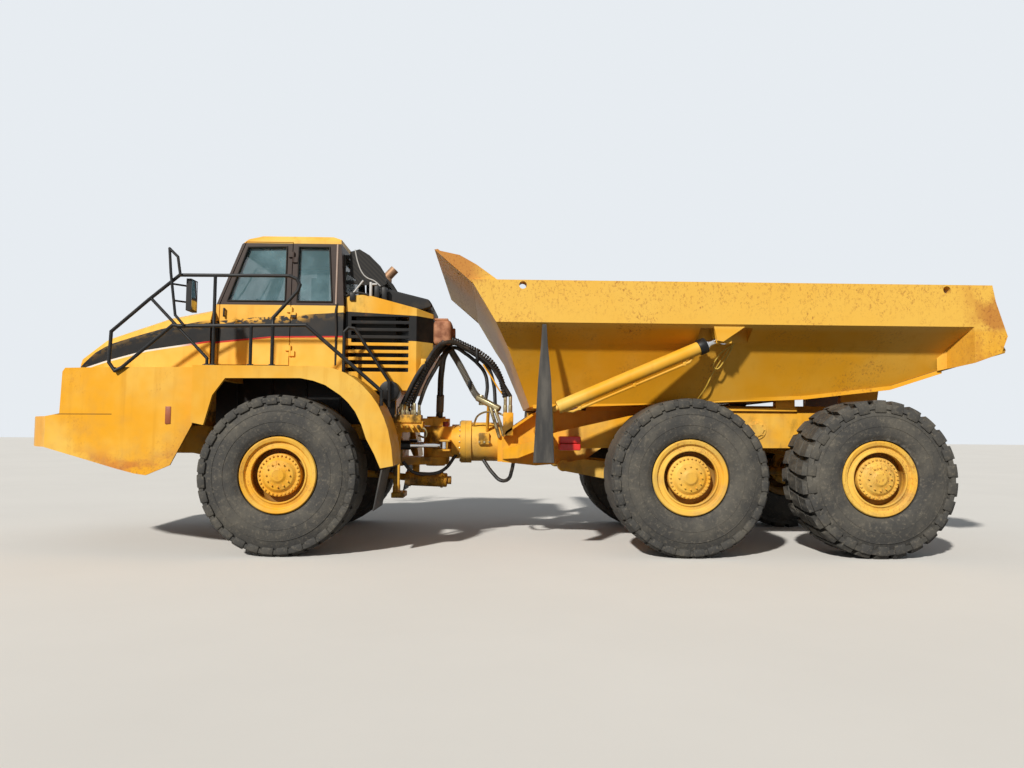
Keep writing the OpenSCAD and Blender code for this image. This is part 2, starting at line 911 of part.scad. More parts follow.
// Profile of a tyre: radius, distance from its middle plane
module tyre_profile(side_half, base_r) {
    polygon([[rim_r + 0.5, -234], [rim_r + 0.5, 234], [345, 246], [flange_r + 6, 246],
        [flange_r + 12, 288], [470, side_half - 12], [560, side_half],
        [650, side_half - 8], [base_r - 40, side_half - 45], [base_r, side_half - 90],
        [base_r, -side_half + 90], [base_r - 40, -side_half + 45],
        [650, -side_half + 8], [560, -side_half], [470, -side_half + 12],
        [flange_r + 12, -288], [flange_r + 6, -246], [345, -246]]);
}

lug_slant = 22;
groove_z = 112;
groove_w = 30;
block_slot = 46;

// Tread ring outside the carcass, with the shoulders sloped
module tread_profile(base_r) {
    h = tyre_w / 2;
    polygon([[base_r - 60, -h + 75], [base_r - 60, h - 75], [base_r - 50, h - 20],
        [base_r - 8, h - 22], [tyre_r, h - 62], [tyre_r, -h + 62],
        [base_r - 8, -h + 22], [base_r - 50, -h + 20]]);
}

// A slot in the tread: its outline along the tread and across it, cut to a radius
module tread_slot(points, low_r) {
    translate([low_r, 0, 0])
        rotate([90, 0, 90])
            linear_extrude(tyre_r - low_r + 40)
                polygon(points);
}

// Slots cut in from each shoulder, narrower and slanted towards the middle
module tread_gaps(count, depth, reach, width) {
    low_r = tyre_r - depth + 1;
    edge = tyre_w / 2 + 10;
    for (s = [-1, 1])
        for (i = [0 : count - 1])
            rotate([0, 0, (i + (s > 0 ? 0.5 : 0)) * 360 / count])
                tread_slot([[-width / 2, s * edge], [width / 2, s * edge],
                    [width * 0.3 + lug_slant, s * (edge - reach)],
                    [-width * 0.3 + lug_slant, s * (edge - reach)]], low_r);
}

// Grooves round the tread and the slots of the blocks between them
module block_gaps(count, depth) {
    low_r = tyre_r - depth + 1;
    for (s = [-1, 1])
        rotate_extrude($fn = big_fn)
            translate([low_r, s * groove_z - groove_w / 2])
                square([depth + 20, groove_w]);
    for (i = [0 : count - 1])
        rotate([0, 0, (i + 0.25) * 360 / count])
            tread_slot([[-block_slot / 2 - 26, -groove_z], [block_slot / 2 - 26, -groove_z],
                [block_slot / 2 + 26, groove_z], [-block_slot / 2 + 26, groove_z]], low_r);
}

module tyre(x, side, count, depth, reach, width, blocks) {
    color(rubber)
        translate([x, side * wheel_y, axle_z])
            rotate([side * 90, 0, 0])
                union() {
                    rotate_extrude($fn = big_fn)
                        tyre_profile(tyre_w / 2, tyre_r - depth);
                    difference() {
                        rotate_extrude($fn = big_fn)
                            tread_profile(tyre_r - depth);
                        tread_gaps(count, depth, reach, width);
                        if (blocks)
                            block_gaps(count, depth);
                    }
                }
}

module worn_tyre(x, side) {
    tyre(x, side, worn_lugs, worn_depth, 130, 44, false);
}

module block_tyre(x, side) {
    tyre(x, side, rear_lugs, lug_depth, tyre_w / 2 + 10 - groove_z, 66, true);
}

// Profile of a rim: radius, distance from the middle of the truck
module rim_profile() {
    polygon([[rim_r, 1080], [rim_r, 1550], [345, 1562], [flange_r - 6, 1566],
        [flange_r, 1590], [flange_r - 12, 1606], [350, 1600], [335, 1570],
        [300, 1575], [290, 1590], [rim_mouth_r, 1590], [rim_mouth_r, 1560],
        [290, 1500], [290, disc_out + 15], [275, disc_out],
        [spindle_r + run_gap, disc_out], [spindle_r + run_gap, disc_in],
        [295, disc_in], [295, 1100], [330, 1062], [flange_r - 12, 1050],
        [flange_r - 6, 1064], [345, 1068]]);
}

module rim(x, side) {
    color(yellow)
        translate([x, 0, axle_z])
            rotate([side * 90, 0, 0])
                mirror([0, 0, 1]) {
                    rotate_extrude($fn = big_fn)
                        rim_profile();
                    difference() {
                        rotate_extrude($fn = 96)
                            polygon([[0, disc_out - 1], [hub_r + 30, disc_out - 1],
                                [hub_r + 30, disc_out + 20], [hub_r, disc_out + 30],
                                [hub_r, 1545], [hub_r - 40, 1580],
                                [90, 1590], [60, 1610], [0, 1610]]);
                        translate([0, 0, disc_out - 5])
                            cylinder(r = spindle_r + run_gap, h = 60);
                    }
                }
}

/* Hitch and steering cylinders */

steer_eye_x = 120;
steer_eye_y = 400;
steer_stroke = 295;

module hitch_head() {
    gap = 3;
    color(yellow)
        difference() {
            union() {
                bar_z(steer_x, 0, 150, lug_low + lug_t + gap, lug_top - lug_t - gap);
                block([steer_x, -140, lug_low + lug_t + gap],
                    [fx(1720), 140, lug_top - lug_t - gap]);
                bar_x(0, roll_z, 210, fx(1690), fx(1830));
                bar_x(0, roll_z, 260, fx(1800), fx(1860));
                bar_x(0, roll_z, trunnion_r, fx(1859), fx(2240));
                // Forks of the steering cylinders' eyes
                both_sides()
                    steering_fork(steer_x + steer_eye_x - 65,
                        steer_x + steer_eye_x + 75, 130, steer_eye_y + 70);
            }
            bar_z(steer_x, 0, steer_pin_r + run_gap, lug_low, lug_top);
        }
}

// Places of the pins of the left steering cylinder
steer_base = [fx(steer_cyl_x), -steer_cyl_y, steer_cyl_z];
steer_eye = [steer_x + steer_eye_x, -steer_eye_y, steer_cyl_z];
steer_dir = (steer_eye - steer_base) / norm(steer_eye - steer_base);

steer_piston = 130 + steer_stroke;
steer_barrel_end = 755;

module steering_barrel() {
    color(dark)
        difference() {
            union() {
                bar_z(steer_base.x, steer_base.y, 52, steer_cyl_z - eye_half,
                    steer_cyl_z + eye_half);
                rod_between(steer_base + 30 * steer_dir,
                    steer_base + 91 * steer_dir, eye_half - 2);
                rod_between(steer_base + 90 * steer_dir,
                    steer_base + steer_barrel_end * steer_dir, steer_cyl_r);
            }
            bar_z(steer_base.x, steer_base.y, steer_cyl_pin_r + run_gap,
                steer_cyl_z - 60, steer_cyl_z + 60);
            rod_between(steer_base + 125 * steer_dir,
                steer_base + (steer_barrel_end + 20) * steer_dir, 28 + run_gap);
        }
}

module steering_rod() {
    color("#c8ccd0")
        difference() {
            union() {
                rod_between(steer_base + steer_piston * steer_dir,
                    steer_eye - 30 * steer_dir, 28);
                bar_z(steer_eye.x, steer_eye.y, 52, steer_cyl_z - eye_half,
                    steer_cyl_z + eye_half);
            }
            bar_z(steer_eye.x, steer_eye.y, steer_cyl_pin_r, steer_cyl_z - 60,
                steer_cyl_z + 60);
        }
}

/* Rear frame and bogie */

hoist_base_x = 2748;
hoist_base_z = 1491;
hoist_eye_x = 4626;
hoist_eye_z = 2300;
tip_pin_r = 60;
beam_y = 500;
beam_t = 120;

arm_flange_out = 570;
arm_y = 560;
arm_t = 80;
arm_pin_x = 3010;
arm_pin_z = 900;
arm_pin_r = 30;
beam_pin_x = 5190;
beam_pin_z = 1330;
beam_pin_r = 70;
plate_out = 860;
plate_t = 45;
flange_top = 1576;
PLATE_BOXES = [[2930, 90, 1130, 1260], [3640, 90, 1150, 1430],
    [4300, 1340, 1500, rear_rail_top], [6345, 40, 1150, 1390]];

// Outer plate of the rear frame, which flares out from the neck
module side_plate() {
    intersection() {
        side_on(0, plate_out)
            polygon(shifted([[2311, 965], [2311, 1080], [2670, 1184], [2917, 1288],
                [3734, 1475], [4100, 1525], [6395, 1525], [6395, 1131],
                [3461, 1112], [2918, 1097], [2671, 1060], [2488, 981]]));
        translate([0, 0, 900])
            linear_extrude(700)
                polygon([[fx(2299), 390], [fx(2299), 450], [fx(2900), plate_out],
                    [fx(6400), plate_out], [fx(6400), plate_out - plate_t],
                    [fx(2925), plate_out - plate_t]]);
    }
}

module rear_frame() {
    neck = 1862;
    color(yellow)
        difference() {
            union() {
                both_sides() {
                    side_on(rear_rail_in, rear_rail_out)
                        polygon(shifted([[2300, 930], [2300, 1240], [2345, 1290],
                            [2650, 1500], [2760, rear_rail_top], [6720, rear_rail_top],
                            [6720, rear_rail_low], [3500, rear_rail_low],
                            [3250, 940], [2700, 890]]));
                    // Flange of the arm that rises from the neck
                    side_on(rear_rail_out - 1, arm_flange_out)
                        polygon(shifted([[2316, 1216], [2345, 1290], [2650, 1500],
                            [2760, rear_rail_top], [2900, rear_rail_top],
                            [2900, rear_rail_top - 25], [2768, rear_rail_top - 25],
                            [2664, 1478], [2366, 1272]]));
                    side_plate();
                    // Boxes from the rail to the side plate: place, length, low, high
                    for (b = PLATE_BOXES)
                        block([fx(b[0]), rear_rail_out - 1, b[2]],
                            [fx(b[0] + b[1]), plate_out - plate_t + 1, b[3]]);
                    // Flange that the body's pads rest on
                    block([fx(4300), rear_rail_out + move_gap, rear_rail_top - 1],
                        [fx(5640), plate_out + 35, flange_top]);
                    // Pin of the middle axle's arms
                    bar_y(fx(arm_pin_x), arm_pin_z, arm_pin_r, rear_rail_in, arm_y + 100);
                    bar_y(fx(arm_pin_x), arm_pin_z, 58, rear_rail_in, arm_y - 8);
                    // Outrigger of the hoist cylinder
                    bar_y(fx(hoist_base_x), hoist_base_z - 190, 75, rear_rail_in,
                        hoist_y + 60);
                    for (y = [hoist_y - 62, hoist_y + 42])
                        side_on(y, y + 20)
                            polygon(shifted([[hoist_base_x - 90, hoist_base_z - 190],
                                [hoist_base_x - 70, hoist_base_z + 60],
                                [hoist_base_x + 70, hoist_base_z + 60],
                                [hoist_base_x + 90, hoist_base_z - 190]]));
                    bar_y(fx(hoist_base_x), hoist_base_z, 35, hoist_y - 60,
                        hoist_y + 60);
                    // Pivot of the walking beam
                    bar_y(fx(beam_pin_x), beam_pin_z, beam_pin_r, rear_rail_in,
                        plate_out + 30);
                    bar_y(fx(beam_pin_x), beam_pin_z, 105, plate_out - 1,
                        plate_out + 14);
                }
                // Neck round the trunnion
                bar_x(0, roll_z, 260, fx(neck), fx(1930));
                bar_x(0, roll_z, 238, fx(1929), fx(2301));
                block([fx(2250), -rear_rail_in - 1, 930],
                    [fx(2300), rear_rail_in + 1, 1240]);
                // Cross tubes
                for (x = [3400, 4300, beam_pin_x, 6100])
                    bar_y(fx(x), 1330, 90, -rear_rail_in - 1, rear_rail_in + 1);
                bar_y(tip_x, tip_z, tip_pin_r, -600, 600);
            }
            bar_x(0, roll_z, trunnion_r + run_gap, fx(neck) - 1, fx(2246));
        }
}

module walking_beams() {
    color(yellow)
        both_sides()
            difference() {
                side_on(beam_y, beam_y + beam_t)
                    polygon([[middle_x - 110, strut_seat], [middle_x + 130, strut_seat],
                        [fx(5100), 1130], [fx(5390), 1130],
                        [rear_x - 130, strut_seat], [rear_x + 110, strut_seat],
                        [rear_x + 110, 1060], [fx(5340), 1450], [fx(5040), 1450],
                        [middle_x - 110, 1060]]);
                bar_y(fx(beam_pin_x), beam_pin_z, beam_pin_r + run_gap, beam_y - 10,
                    beam_y + beam_t + 10);
            }
}

// Places of the pins of the left hoist cylinder
hoist_base = [fx(hoist_base_x), -hoist_y, hoist_base_z];
hoist_eye = [fx(hoist_eye_x), -hoist_y, hoist_eye_z];
hoist_len = norm(hoist_eye - hoist_base);
hoist_dir = (hoist_eye - hoist_base) / hoist_len;
stage_r = hoist_r - 16;
piston_r = stage_r - 16;

module hoist_barrel() {
    color(yellow)
        difference() {
            union() {
                bar_y(hoist_base.x, hoist_base.z, 62, -hoist_y - 36, -hoist_y + 36);
                rod_between(hoist_base + 40 * hoist_dir,
                    hoist_base + 141 * hoist_dir, 32);
                rod_between(hoist_base + 140 * hoist_dir,
                    hoist_base + (hoist_len - 210) * hoist_dir, hoist_r);
            }
            bar_y(hoist_base.x, hoist_base.z, 35 + run_gap, -hoist_y - 40, -hoist_y + 40);
            rod_between(hoist_base + 160 * hoist_dir,
                hoist_base + (hoist_len + 100) * hoist_dir, stage_r + run_gap);
        }
}

module hoist_stage() {
    color("#c8ccd0")
        difference() {
            rod_between(hoist_base + 200 * hoist_dir,
                hoist_base + (hoist_len - 170) * hoist_dir, stage_r);
            rod_between(hoist_base + 240 * hoist_dir,
                hoist_base + hoist_len * hoist_dir, piston_r + run_gap);
        }
}

module hoist_rod() {
    color("#c8ccd0")
        difference() {
            union() {
                rod_between(hoist_base + 280 * hoist_dir, hoist_eye - 150 * hoist_dir,
                    piston_r);
                rod_between(hoist_eye - 151 * hoist_dir, hoist_eye - 50 * hoist_dir,
                    32);
                bar_y(hoist_eye.x, hoist_eye.z, 70, -hoist_y - 36, -hoist_y + 36);
            }
            bar_y(hoist_eye.x, hoist_eye.z, 35, -hoist_y - 40, -hoist_y + 40);
        }
}

/* Dump body */

floor_front = 1565;
floor_kick = 1690;
rail_in = body_half - 160;
lip_z = 2190;
eye_hole_r = 40;
eye_hole_z = 2820;
eye_hole_places = [2495, 6980];
pivot_lug_in = 470;
pivot_lug_out = 560;

// Side view of the body's outside
module body_side() {
    polygon(shifted([[1950, body_top], [2217, rail_low], [2337, 2221],
        [2601, floor_front], [5666, floor_kick], [6600, 1800], [7150, 1990],
        [rear_reach, lip_z], [rear_reach, lip_z + 32], [7618, 2334],
        [7501, 2698], [7468, body_top]]));
}

// Side view of the space for the load, open at the tail
module body_hollow() {
    t = body_t;
    polygon(shifted([[1950 + t * 1.2, body_top + 5], [2217 + t * 1.2, rail_low],
        [2337 + t * 1.1, 2221], [2601 + t * 0.9, floor_front + t],
        [5666, floor_kick + t], [6600, 1800 + t], [7150, 1990 + t],
        [rear_reach + 100, lip_z + t + 28], [rear_reach + 100, body_top + 5]]));
}

// Front view of the body's outside, with the slope under each top rail
module body_section() {
    half = [[floor_half, floor_front - 1], [wall_half - 10, 2221],
        [body_half, rail_low], [body_half, body_top]];
    polygon(concat(half, [for (i = [len(half) - 1 : -1 : 0])
        [-half[i][0], half[i][1]]]));
}

// Front view of the space for the load
module hollow_section() {
    t = body_t;
    half = [[floor_half - t - 24, floor_front - 40],
        [wall_half - 10 - t, 2221 + t * 0.2], [rail_in, 2600], [rail_in, body_top + 10]];
    polygon(concat(half, [for (i = [len(half) - 1 : -1 : 0])
        [-half[i][0], half[i][1]]]));
}

// Cheek of the tail, flared out to the width of the rails
module tail_cheek() {
    intersection() {
        side_on(wall_half - 60, body_half)
            polygon(shifted([[7060, 1990], [7189, 2023], [7548, 2155], [7618, 2334],
                [7501, 2698], [7468, body_top], [7060, body_top]]));
        translate([0, 0, 1900])
            linear_extrude(1000)
                polygon([[fx(7060), wall_half - 61], [fx(7145), wall_half - 10],
                    [fx(7262), body_half + 1], [fx(7700), body_half + 1],
                    [fx(7700), wall_half - 61]]);
    }
}

// Lip along the lower edge of each wall, wider towards the tail
module wall_lip() {
    intersection() {
        side_on(880, 1300)
            polygon(shifted([[2640, 1550], [5666, 1672], [6600, 1783], [7120, 1964],
                [7120, 2010], [6600, 1828], [5666, 1714], [2640, 1590]]));
        translate([0, 0, 1500])
            linear_extrude(600)
                polygon([[fx(2600), 900], [fx(2600), 968], [fx(4500), 968],
                    [fx(5666), 1052], [fx(6600), 1116], [fx(7130), 1230],
                    [fx(7130), 1100], [fx(5666), 930]]);
    }
}

module dump_body() {
    color(yellow)
        difference() {
            union() {
                intersection() {
                    side_on(-body_half, body_half)
                        body_side();
                    front_on(fx(1900), fx(rear_reach) + 1)
                        body_section();
                }
                both_sides() {
                    tail_cheek();
                    wall_lip();
                    // Pad that rests on the rear frame's flange
                    block([fx(5401), plate_out - 60, flange_top + 0.3],
                        [fx(5617), plate_out + 35, 1700]);
                    // Beam that rests on the rear rail
                    block([fx(3300), rear_rail_in, rear_rail_top + 0.3],
                        [fx(6250), rear_rail_out, floor_front + 50]);
                    // Pivot lug
                    side_on(pivot_lug_in, pivot_lug_out)
                        union() {
                            polygon(shifted([[6300, 1600], [6300, 1775],
                                [6600, 1810], [6760, 1865], [6680, tip_z],
                                [6420, tip_z]]));
                            translate([tip_x, tip_z])
                                circle(r = 135);
                        }
                }
            }
            intersection() {
                side_on(-body_half, body_half)
                    body_hollow();
                front_on(fx(1800), fx(rear_reach) + 150)
                    hollow_section();
            }
            both_sides() {
                bar_y(tip_x, tip_z, tip_pin_r + run_gap, 400, 700);
                // Lifting eyes in the rails
                for (x = eye_hole_places)
                    bar_y(fx(x), eye_hole_z, eye_hole_r, rail_in - 40, body_half + 1);
                // Pocket round the hoist cylinder's end
                block([fx(hoist_eye_x - 250), hoist_y - 100, 2100],
                    [fx(hoist_eye_x + 300), hoist_y + 90, rail_low - 20]);
            }
        }
    color(yellow)
        both_sides() {
            // Fork of the hoist cylinder's eye
            for (y = [hoist_y - 62, hoist_y + 42])
                side_on(y, y + 20)
                    polygon(shifted([[hoist_eye_x - 110, rail_low - 10],
                        [hoist_eye_x - 80, hoist_eye_z - 60],
                        [hoist_eye_x + 80, hoist_eye_z - 60],
                        [hoist_eye_x + 110, rail_low - 10]]));
            // Gusset outside the fork
            side_on(hoist_y + 93, hoist_y + 113)
                polygon(shifted([[4500, 2440], [4541, 2262], [4605, 2250],
                    [4722, 2330], [4850, 2418], [4850, 2440]]));
            // Wing of the headboard
            side_on(body_half - 60, body_half - 30)
                polygon(shifted([[1565, 3190], [1830, 3135], [2010, 3035],
                    [2240, body_top - 5], [2100, 2800], [1960, 2850]]));
        }
    // Headboard, a slanting plate above the front wall
    color(yellow)
        side_on(-body_half + 31, body_half - 31)
            polygon(shifted([[1565, 3190], [1958, body_top - 15],
                [1996, body_top - 15], [1600, 3197]]));
}

module body_flaps() {
    flap_y = body_half - 25;
    slope = (rail_low - 2221) / (body_half - wall_half + 10);
    flap_top = rail_low - (body_half - flap_y) * slope - 0.3;
    color(rubber)
        both_sides()
            side_on(flap_y, flap_y + 14)
                polygon(shifted([[2700, flap_top], [2689, 2208], [2660, 1830],
                    [2613, 970], [2831, 970], [2796, 1830], [2758, 2208],
                    [2745, flap_top]]));
}

module wheel_chocks() {
    color("#c82828")
        for (z = [1086, 1166])
            block([fx(2930), -plate_out - 200, z],
                [fx(3165), -plate_out - 0.3, z + 75]);
}

front_frame();
nose_body();
front_grille();
hood();
headlights();
engine_block();
front_fenders();
mud_flaps();
cab_shell();
cab_door();
door_glass();
cab_glass();
cab_interior();
radiator_housing();
radiator_core();
rear_window_guard();
air_cowl();
exhaust_stack();
handrails();
mirrors();
front_axle();
front_struts();
hitch_head();
steering_barrel();  // steering_barrel_left
mirror([0, 1, 0]) steering_barrel();  // steering_barrel_right
steering_rod();  // steering_rod_left
mirror([0, 1, 0]) steering_rod();  // steering_rod_right
rear_frame();
walking_beams();
middle_axle();
rear_axle();
drive_shafts();
hoist_barrel();  // hoist_barrel_left
mirror([0, 1, 0]) hoist_barrel();  // hoist_barrel_right
hoist_stage();  // hoist_stage_left
mirror([0, 1, 0]) hoist_stage();  // hoist_stage_right
hoist_rod();  // hoist_rod_left
mirror([0, 1, 0]) hoist_rod();  // hoist_rod_right
dump_body();
body_flaps();
wheel_chocks();
worn_tyre(front_x, left);  // tyre_front_left
worn_tyre(front_x, right);  // tyre_front_right
worn_tyre(middle_x, left);  // tyre_middle_left
worn_tyre(middle_x, right);  // tyre_middle_right
block_tyre(rear_x, left);  // tyre_rear_left
block_tyre(rear_x, right);  // tyre_rear_right
rim(front_x, left);  // rim_front_left
rim(front_x, right);  // rim_front_right
rim(middle_x, left);  // rim_middle_left
rim(middle_x, right);  // rim_middle_right
rim(rear_x, left);  // rim_rear_left
rim(rear_x, right);  // rim_rear_right
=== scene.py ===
import math

import bpy
from mathutils import Matrix, Vector


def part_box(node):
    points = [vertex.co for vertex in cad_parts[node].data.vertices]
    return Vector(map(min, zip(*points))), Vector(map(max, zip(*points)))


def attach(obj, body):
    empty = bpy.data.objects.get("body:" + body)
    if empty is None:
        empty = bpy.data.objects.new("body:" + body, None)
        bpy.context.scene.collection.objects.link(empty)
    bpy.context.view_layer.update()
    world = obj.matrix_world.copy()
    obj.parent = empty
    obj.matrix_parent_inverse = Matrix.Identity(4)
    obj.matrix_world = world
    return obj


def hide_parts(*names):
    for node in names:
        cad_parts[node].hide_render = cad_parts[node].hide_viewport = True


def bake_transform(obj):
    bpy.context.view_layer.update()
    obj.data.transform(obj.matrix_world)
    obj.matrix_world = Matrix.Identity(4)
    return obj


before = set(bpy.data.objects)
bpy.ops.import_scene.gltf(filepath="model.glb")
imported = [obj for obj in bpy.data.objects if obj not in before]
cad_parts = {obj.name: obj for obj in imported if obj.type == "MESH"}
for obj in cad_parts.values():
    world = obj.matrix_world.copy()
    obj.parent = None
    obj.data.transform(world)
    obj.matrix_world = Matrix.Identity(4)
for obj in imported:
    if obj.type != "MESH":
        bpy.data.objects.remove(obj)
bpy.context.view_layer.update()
bpy.ops.object.select_all(action="DESELECT")

# The camera.
# A hand-held camera at chest height, nearly square to the truck's left side and tipped up a
# little. Its place and angles come from the photo's horizon and wheel centres.
image_width = 1024
focal_px = 769
camera_place = Vector((-0.188, -9.55, 1.31))
pitch, yaw, roll = (math.radians(a) for a in (3.4, 1.27, 0.45))
bpy.ops.object.camera_add(location=camera_place)
camera = bpy.context.object
turned = Matrix.Rotation(-yaw, 3, "Z") @ Matrix.Rotation(math.pi / 2 + pitch, 3, "X")
camera.rotation_euler = (turned @ Matrix.Rotation(roll, 3, "Z")).to_euler()
camera.data.lens = camera.data.sensor_width * focal_px / image_width
camera.data.clip_end = 300
bpy.context.scene.camera = camera
bpy.context.scene.view_settings.view_transform = "Standard"

# The floor, the key light and the sky's fill.
# A sun over the viewer's left shoulder, softened as by a studio screen, lights the side fully and
# leaves the undersides dark; the sky and the floor are plain and pale.
sun_aim = Vector((0.43, 0.82, -0.63))
bpy.ops.object.light_add(type="SUN")
sun = bpy.context.object
sun.data.energy = 3.8
sun.data.angle = math.radians(2.5)
sun.data.color = (1.0, 0.965, 0.9)
sun.rotation_euler = sun_aim.to_track_quat("-Z", "Y").to_euler()

world = bpy.data.worlds.new("sky")
bpy.context.scene.world = world
world.use_nodes = True
sky_nodes, sky_links = world.node_tree.nodes, world.node_tree.links
fill = sky_nodes["Background"]
fill.inputs["Color"].default_value = (0.86, 0.93, 1.0, 1)
fill.inputs["Strength"].default_value = 0.2
seen = sky_nodes.new("ShaderNodeBackground")
seen.inputs["Color"].default_value = (0.80, 0.84, 0.88, 1)
rays = sky_nodes.new("ShaderNodeLightPath")
SHOWN_TO = ("Is Camera Ray", "Is Glossy Ray", "Is Transmission Ray")
shown = rays.outputs[SHOWN_TO[0]]
for kind in SHOWN_TO[1:]:
    larger = sky_nodes.new("ShaderNodeMath")
    larger.operation = "MAXIMUM"
    sky_links.new(shown, larger.inputs[0])
    sky_links.new(rays.outputs[kind], larger.inputs[1])
    shown = larger.outputs[0]
either = sky_nodes.new("ShaderNodeMixShader")
sky_links.new(shown, either.inputs[0])
sky_links.new(fill.outputs[0], either.inputs[1])
sky_links.new(seen.outputs[0], either.inputs[2])
sky_links.new(either.outputs[0], sky_nodes["World Output"].inputs["Surface"])

bpy.ops.mesh.primitive_plane_add(size=160)
floor = bpy.context.object
floor.name = "floor"


def srgb(red, green, blue):
    """A colour as a paint chart gives it, 0 to 255, as a linear one."""
    parts = [c / 255 for c in (red, green, blue)]
    return tuple(c / 12.92 if c < 0.04045 else ((c + 0.055) / 1.055) ** 2.4 for c in parts)


def reckoned(operation, swap=False):
    """An operator on fields that adds one Math node."""

    def act(self, other=0.0):
        pair = (other, self) if swap else (self, other)
        return self.finish.node("ShaderNodeMath", {"operation": operation}, dict(enumerate(pair)))

    return act


class Field:
    """A socket of a finish under way, which can be reckoned with."""

    def __init__(self, finish, socket):
        self.finish = finish
        self.socket = socket

    __add__, __radd__ = reckoned("ADD"), reckoned("ADD", True)
    __sub__, __rsub__ = reckoned("SUBTRACT"), reckoned("SUBTRACT", True)
    __mul__, __truediv__ = reckoned("MULTIPLY"), reckoned("DIVIDE")
    __gt__, __lt__ = reckoned("GREATER_THAN"), reckoned("LESS_THAN")
    __abs__, least, most = reckoned("ABSOLUTE"), reckoned("MINIMUM"), reckoned("MAXIMUM")


class Finish:
    """A procedural finish for a material slot: a Principled shader and the nodes that feed it."""

    def __init__(self, name, slot, fixed=()):
        self.slot = slot
        self.material = bpy.data.materials.new(name)
        self.material.use_nodes = True
        self.tree = self.material.node_tree
        self.shader = self.tree.nodes["Principled BSDF"]
        for socket, value in dict(fixed).items():
            self.shader.inputs[socket].default_value = value
        self.place = self.node("ShaderNodeTexCoord", out="Object")
        self.x, self.y, self.z = self.parts(self.place)

    def node(self, kind, settings=(), sockets=(), out=0):
        """Adds a node, with its settings first, then the values or links of its sockets."""
        made = self.tree.nodes.new(kind)
        for name, value in dict(settings).items():
            setattr(made, name, value)
        for name, value in dict(sockets).items():
            socket = made.inputs[name]
            if isinstance(value, Field):
                self.tree.links.new(value.socket, socket)
            else:
                socket.default_value = (*value, 1) if socket.type == "RGBA" else value
        return Field(self, made.outputs[out])

    def parts(self, vector):
        """The X, Y and Z of a vector."""
        split = self.node("ShaderNodeSeparateXYZ", sockets={0: vector}).socket.node
        return [Field(self, socket) for socket in split.outputs]

    def noise(self, scale, detail=3.0, stretch=(1, 1, 1), roughness=0.6):
        at = self.node("ShaderNodeMapping", sockets={"Vector": self.place, "Scale": stretch})
        sockets = {"Vector": at, "Scale": scale, "Detail": detail, "Roughness": roughness}
        return self.node("ShaderNodeTexNoise", sockets=sockets)

    def waves(self, direction, scale):
        sockets = {"Vector": self.place, "Scale": scale}
        return self.node("ShaderNodeTexWave", {"bands_direction": direction}, sockets)

    def step(self, value, low, high):
        """Rises softly from 0 at low to 1 at high."""
        settings = {"interpolation_type": "SMOOTHSTEP"}
        return self.node("ShaderNodeMapRange", settings, {0: value, 1: low, 2: high})

    def spots(self, *noise, band, **more):
        """A noise that rises softly from 0 to 1 within a band of its values."""
        return self.step(self.noise(*noise, **more), *band)

    def mix(self, amount, first, second):
        """One colour over another."""
        sockets = {0: amount, 6: first, 7: second}
        return self.node("ShaderNodeMix", {"data_type": "RGBA"}, sockets, 2)

    def feed(self, socket, field):
        self.tree.links.new(field.socket, self.shader.inputs[socket])

    def tint(self, amount, first, second):
        """Colours the surface with one paint-chart colour over another."""
        self.feed("Base Color", self.mix(amount, srgb(*first), srgb(*second)))

    def bump(self, height, distance):
        """Raises the surface by a height from 0 to 1 times a distance in metres."""
        sockets = {"Height": height, "Distance": distance}
        self.feed("Normal", self.node("ShaderNodeBump", sockets=sockets))


screed = Finish("pale_screed", None, {"Roughness": 0.9})
pale = screed.mix(screed.noise(0.35, 5), srgb(226, 223, 218), srgb(238, 235, 230))
# The floor is pale to the eye, and in metal and glass, but doesn't light the truck from below
by_eye, in_metal, in_glass = [screed.node("ShaderNodeLightPath", out=kind) for kind in SHOWN_TO]
looked_at = by_eye.most(in_metal).most(in_glass)
screed.feed("Base Color", screed.mix(looked_at, srgb(92, 88, 84), pale))
floor.data.materials.append(screed.material)

# The front frame.
# Two welded plate rails with cross members, the cab's towers and the steering lugs, sprayed the
# truck's yellow; oily dust lies in its corners.
front_low, front_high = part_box("tyre_front_left")
front_axle_x = (front_low.x + front_high.x) / 2
yellow_fresh = srgb(240, 170, 34)
yellow_faded = srgb(245, 198, 92)
yellow_dull = srgb(212, 148, 34)
rust_dark = srgb(112, 62, 36)
rust_light = srgb(196, 118, 58)
road_dust = srgb(150, 128, 98)
oily_black = srgb(34, 28, 22)


def behind(distance):
    """The X of a place so many metres behind the front axle."""
    return front_axle_x + distance


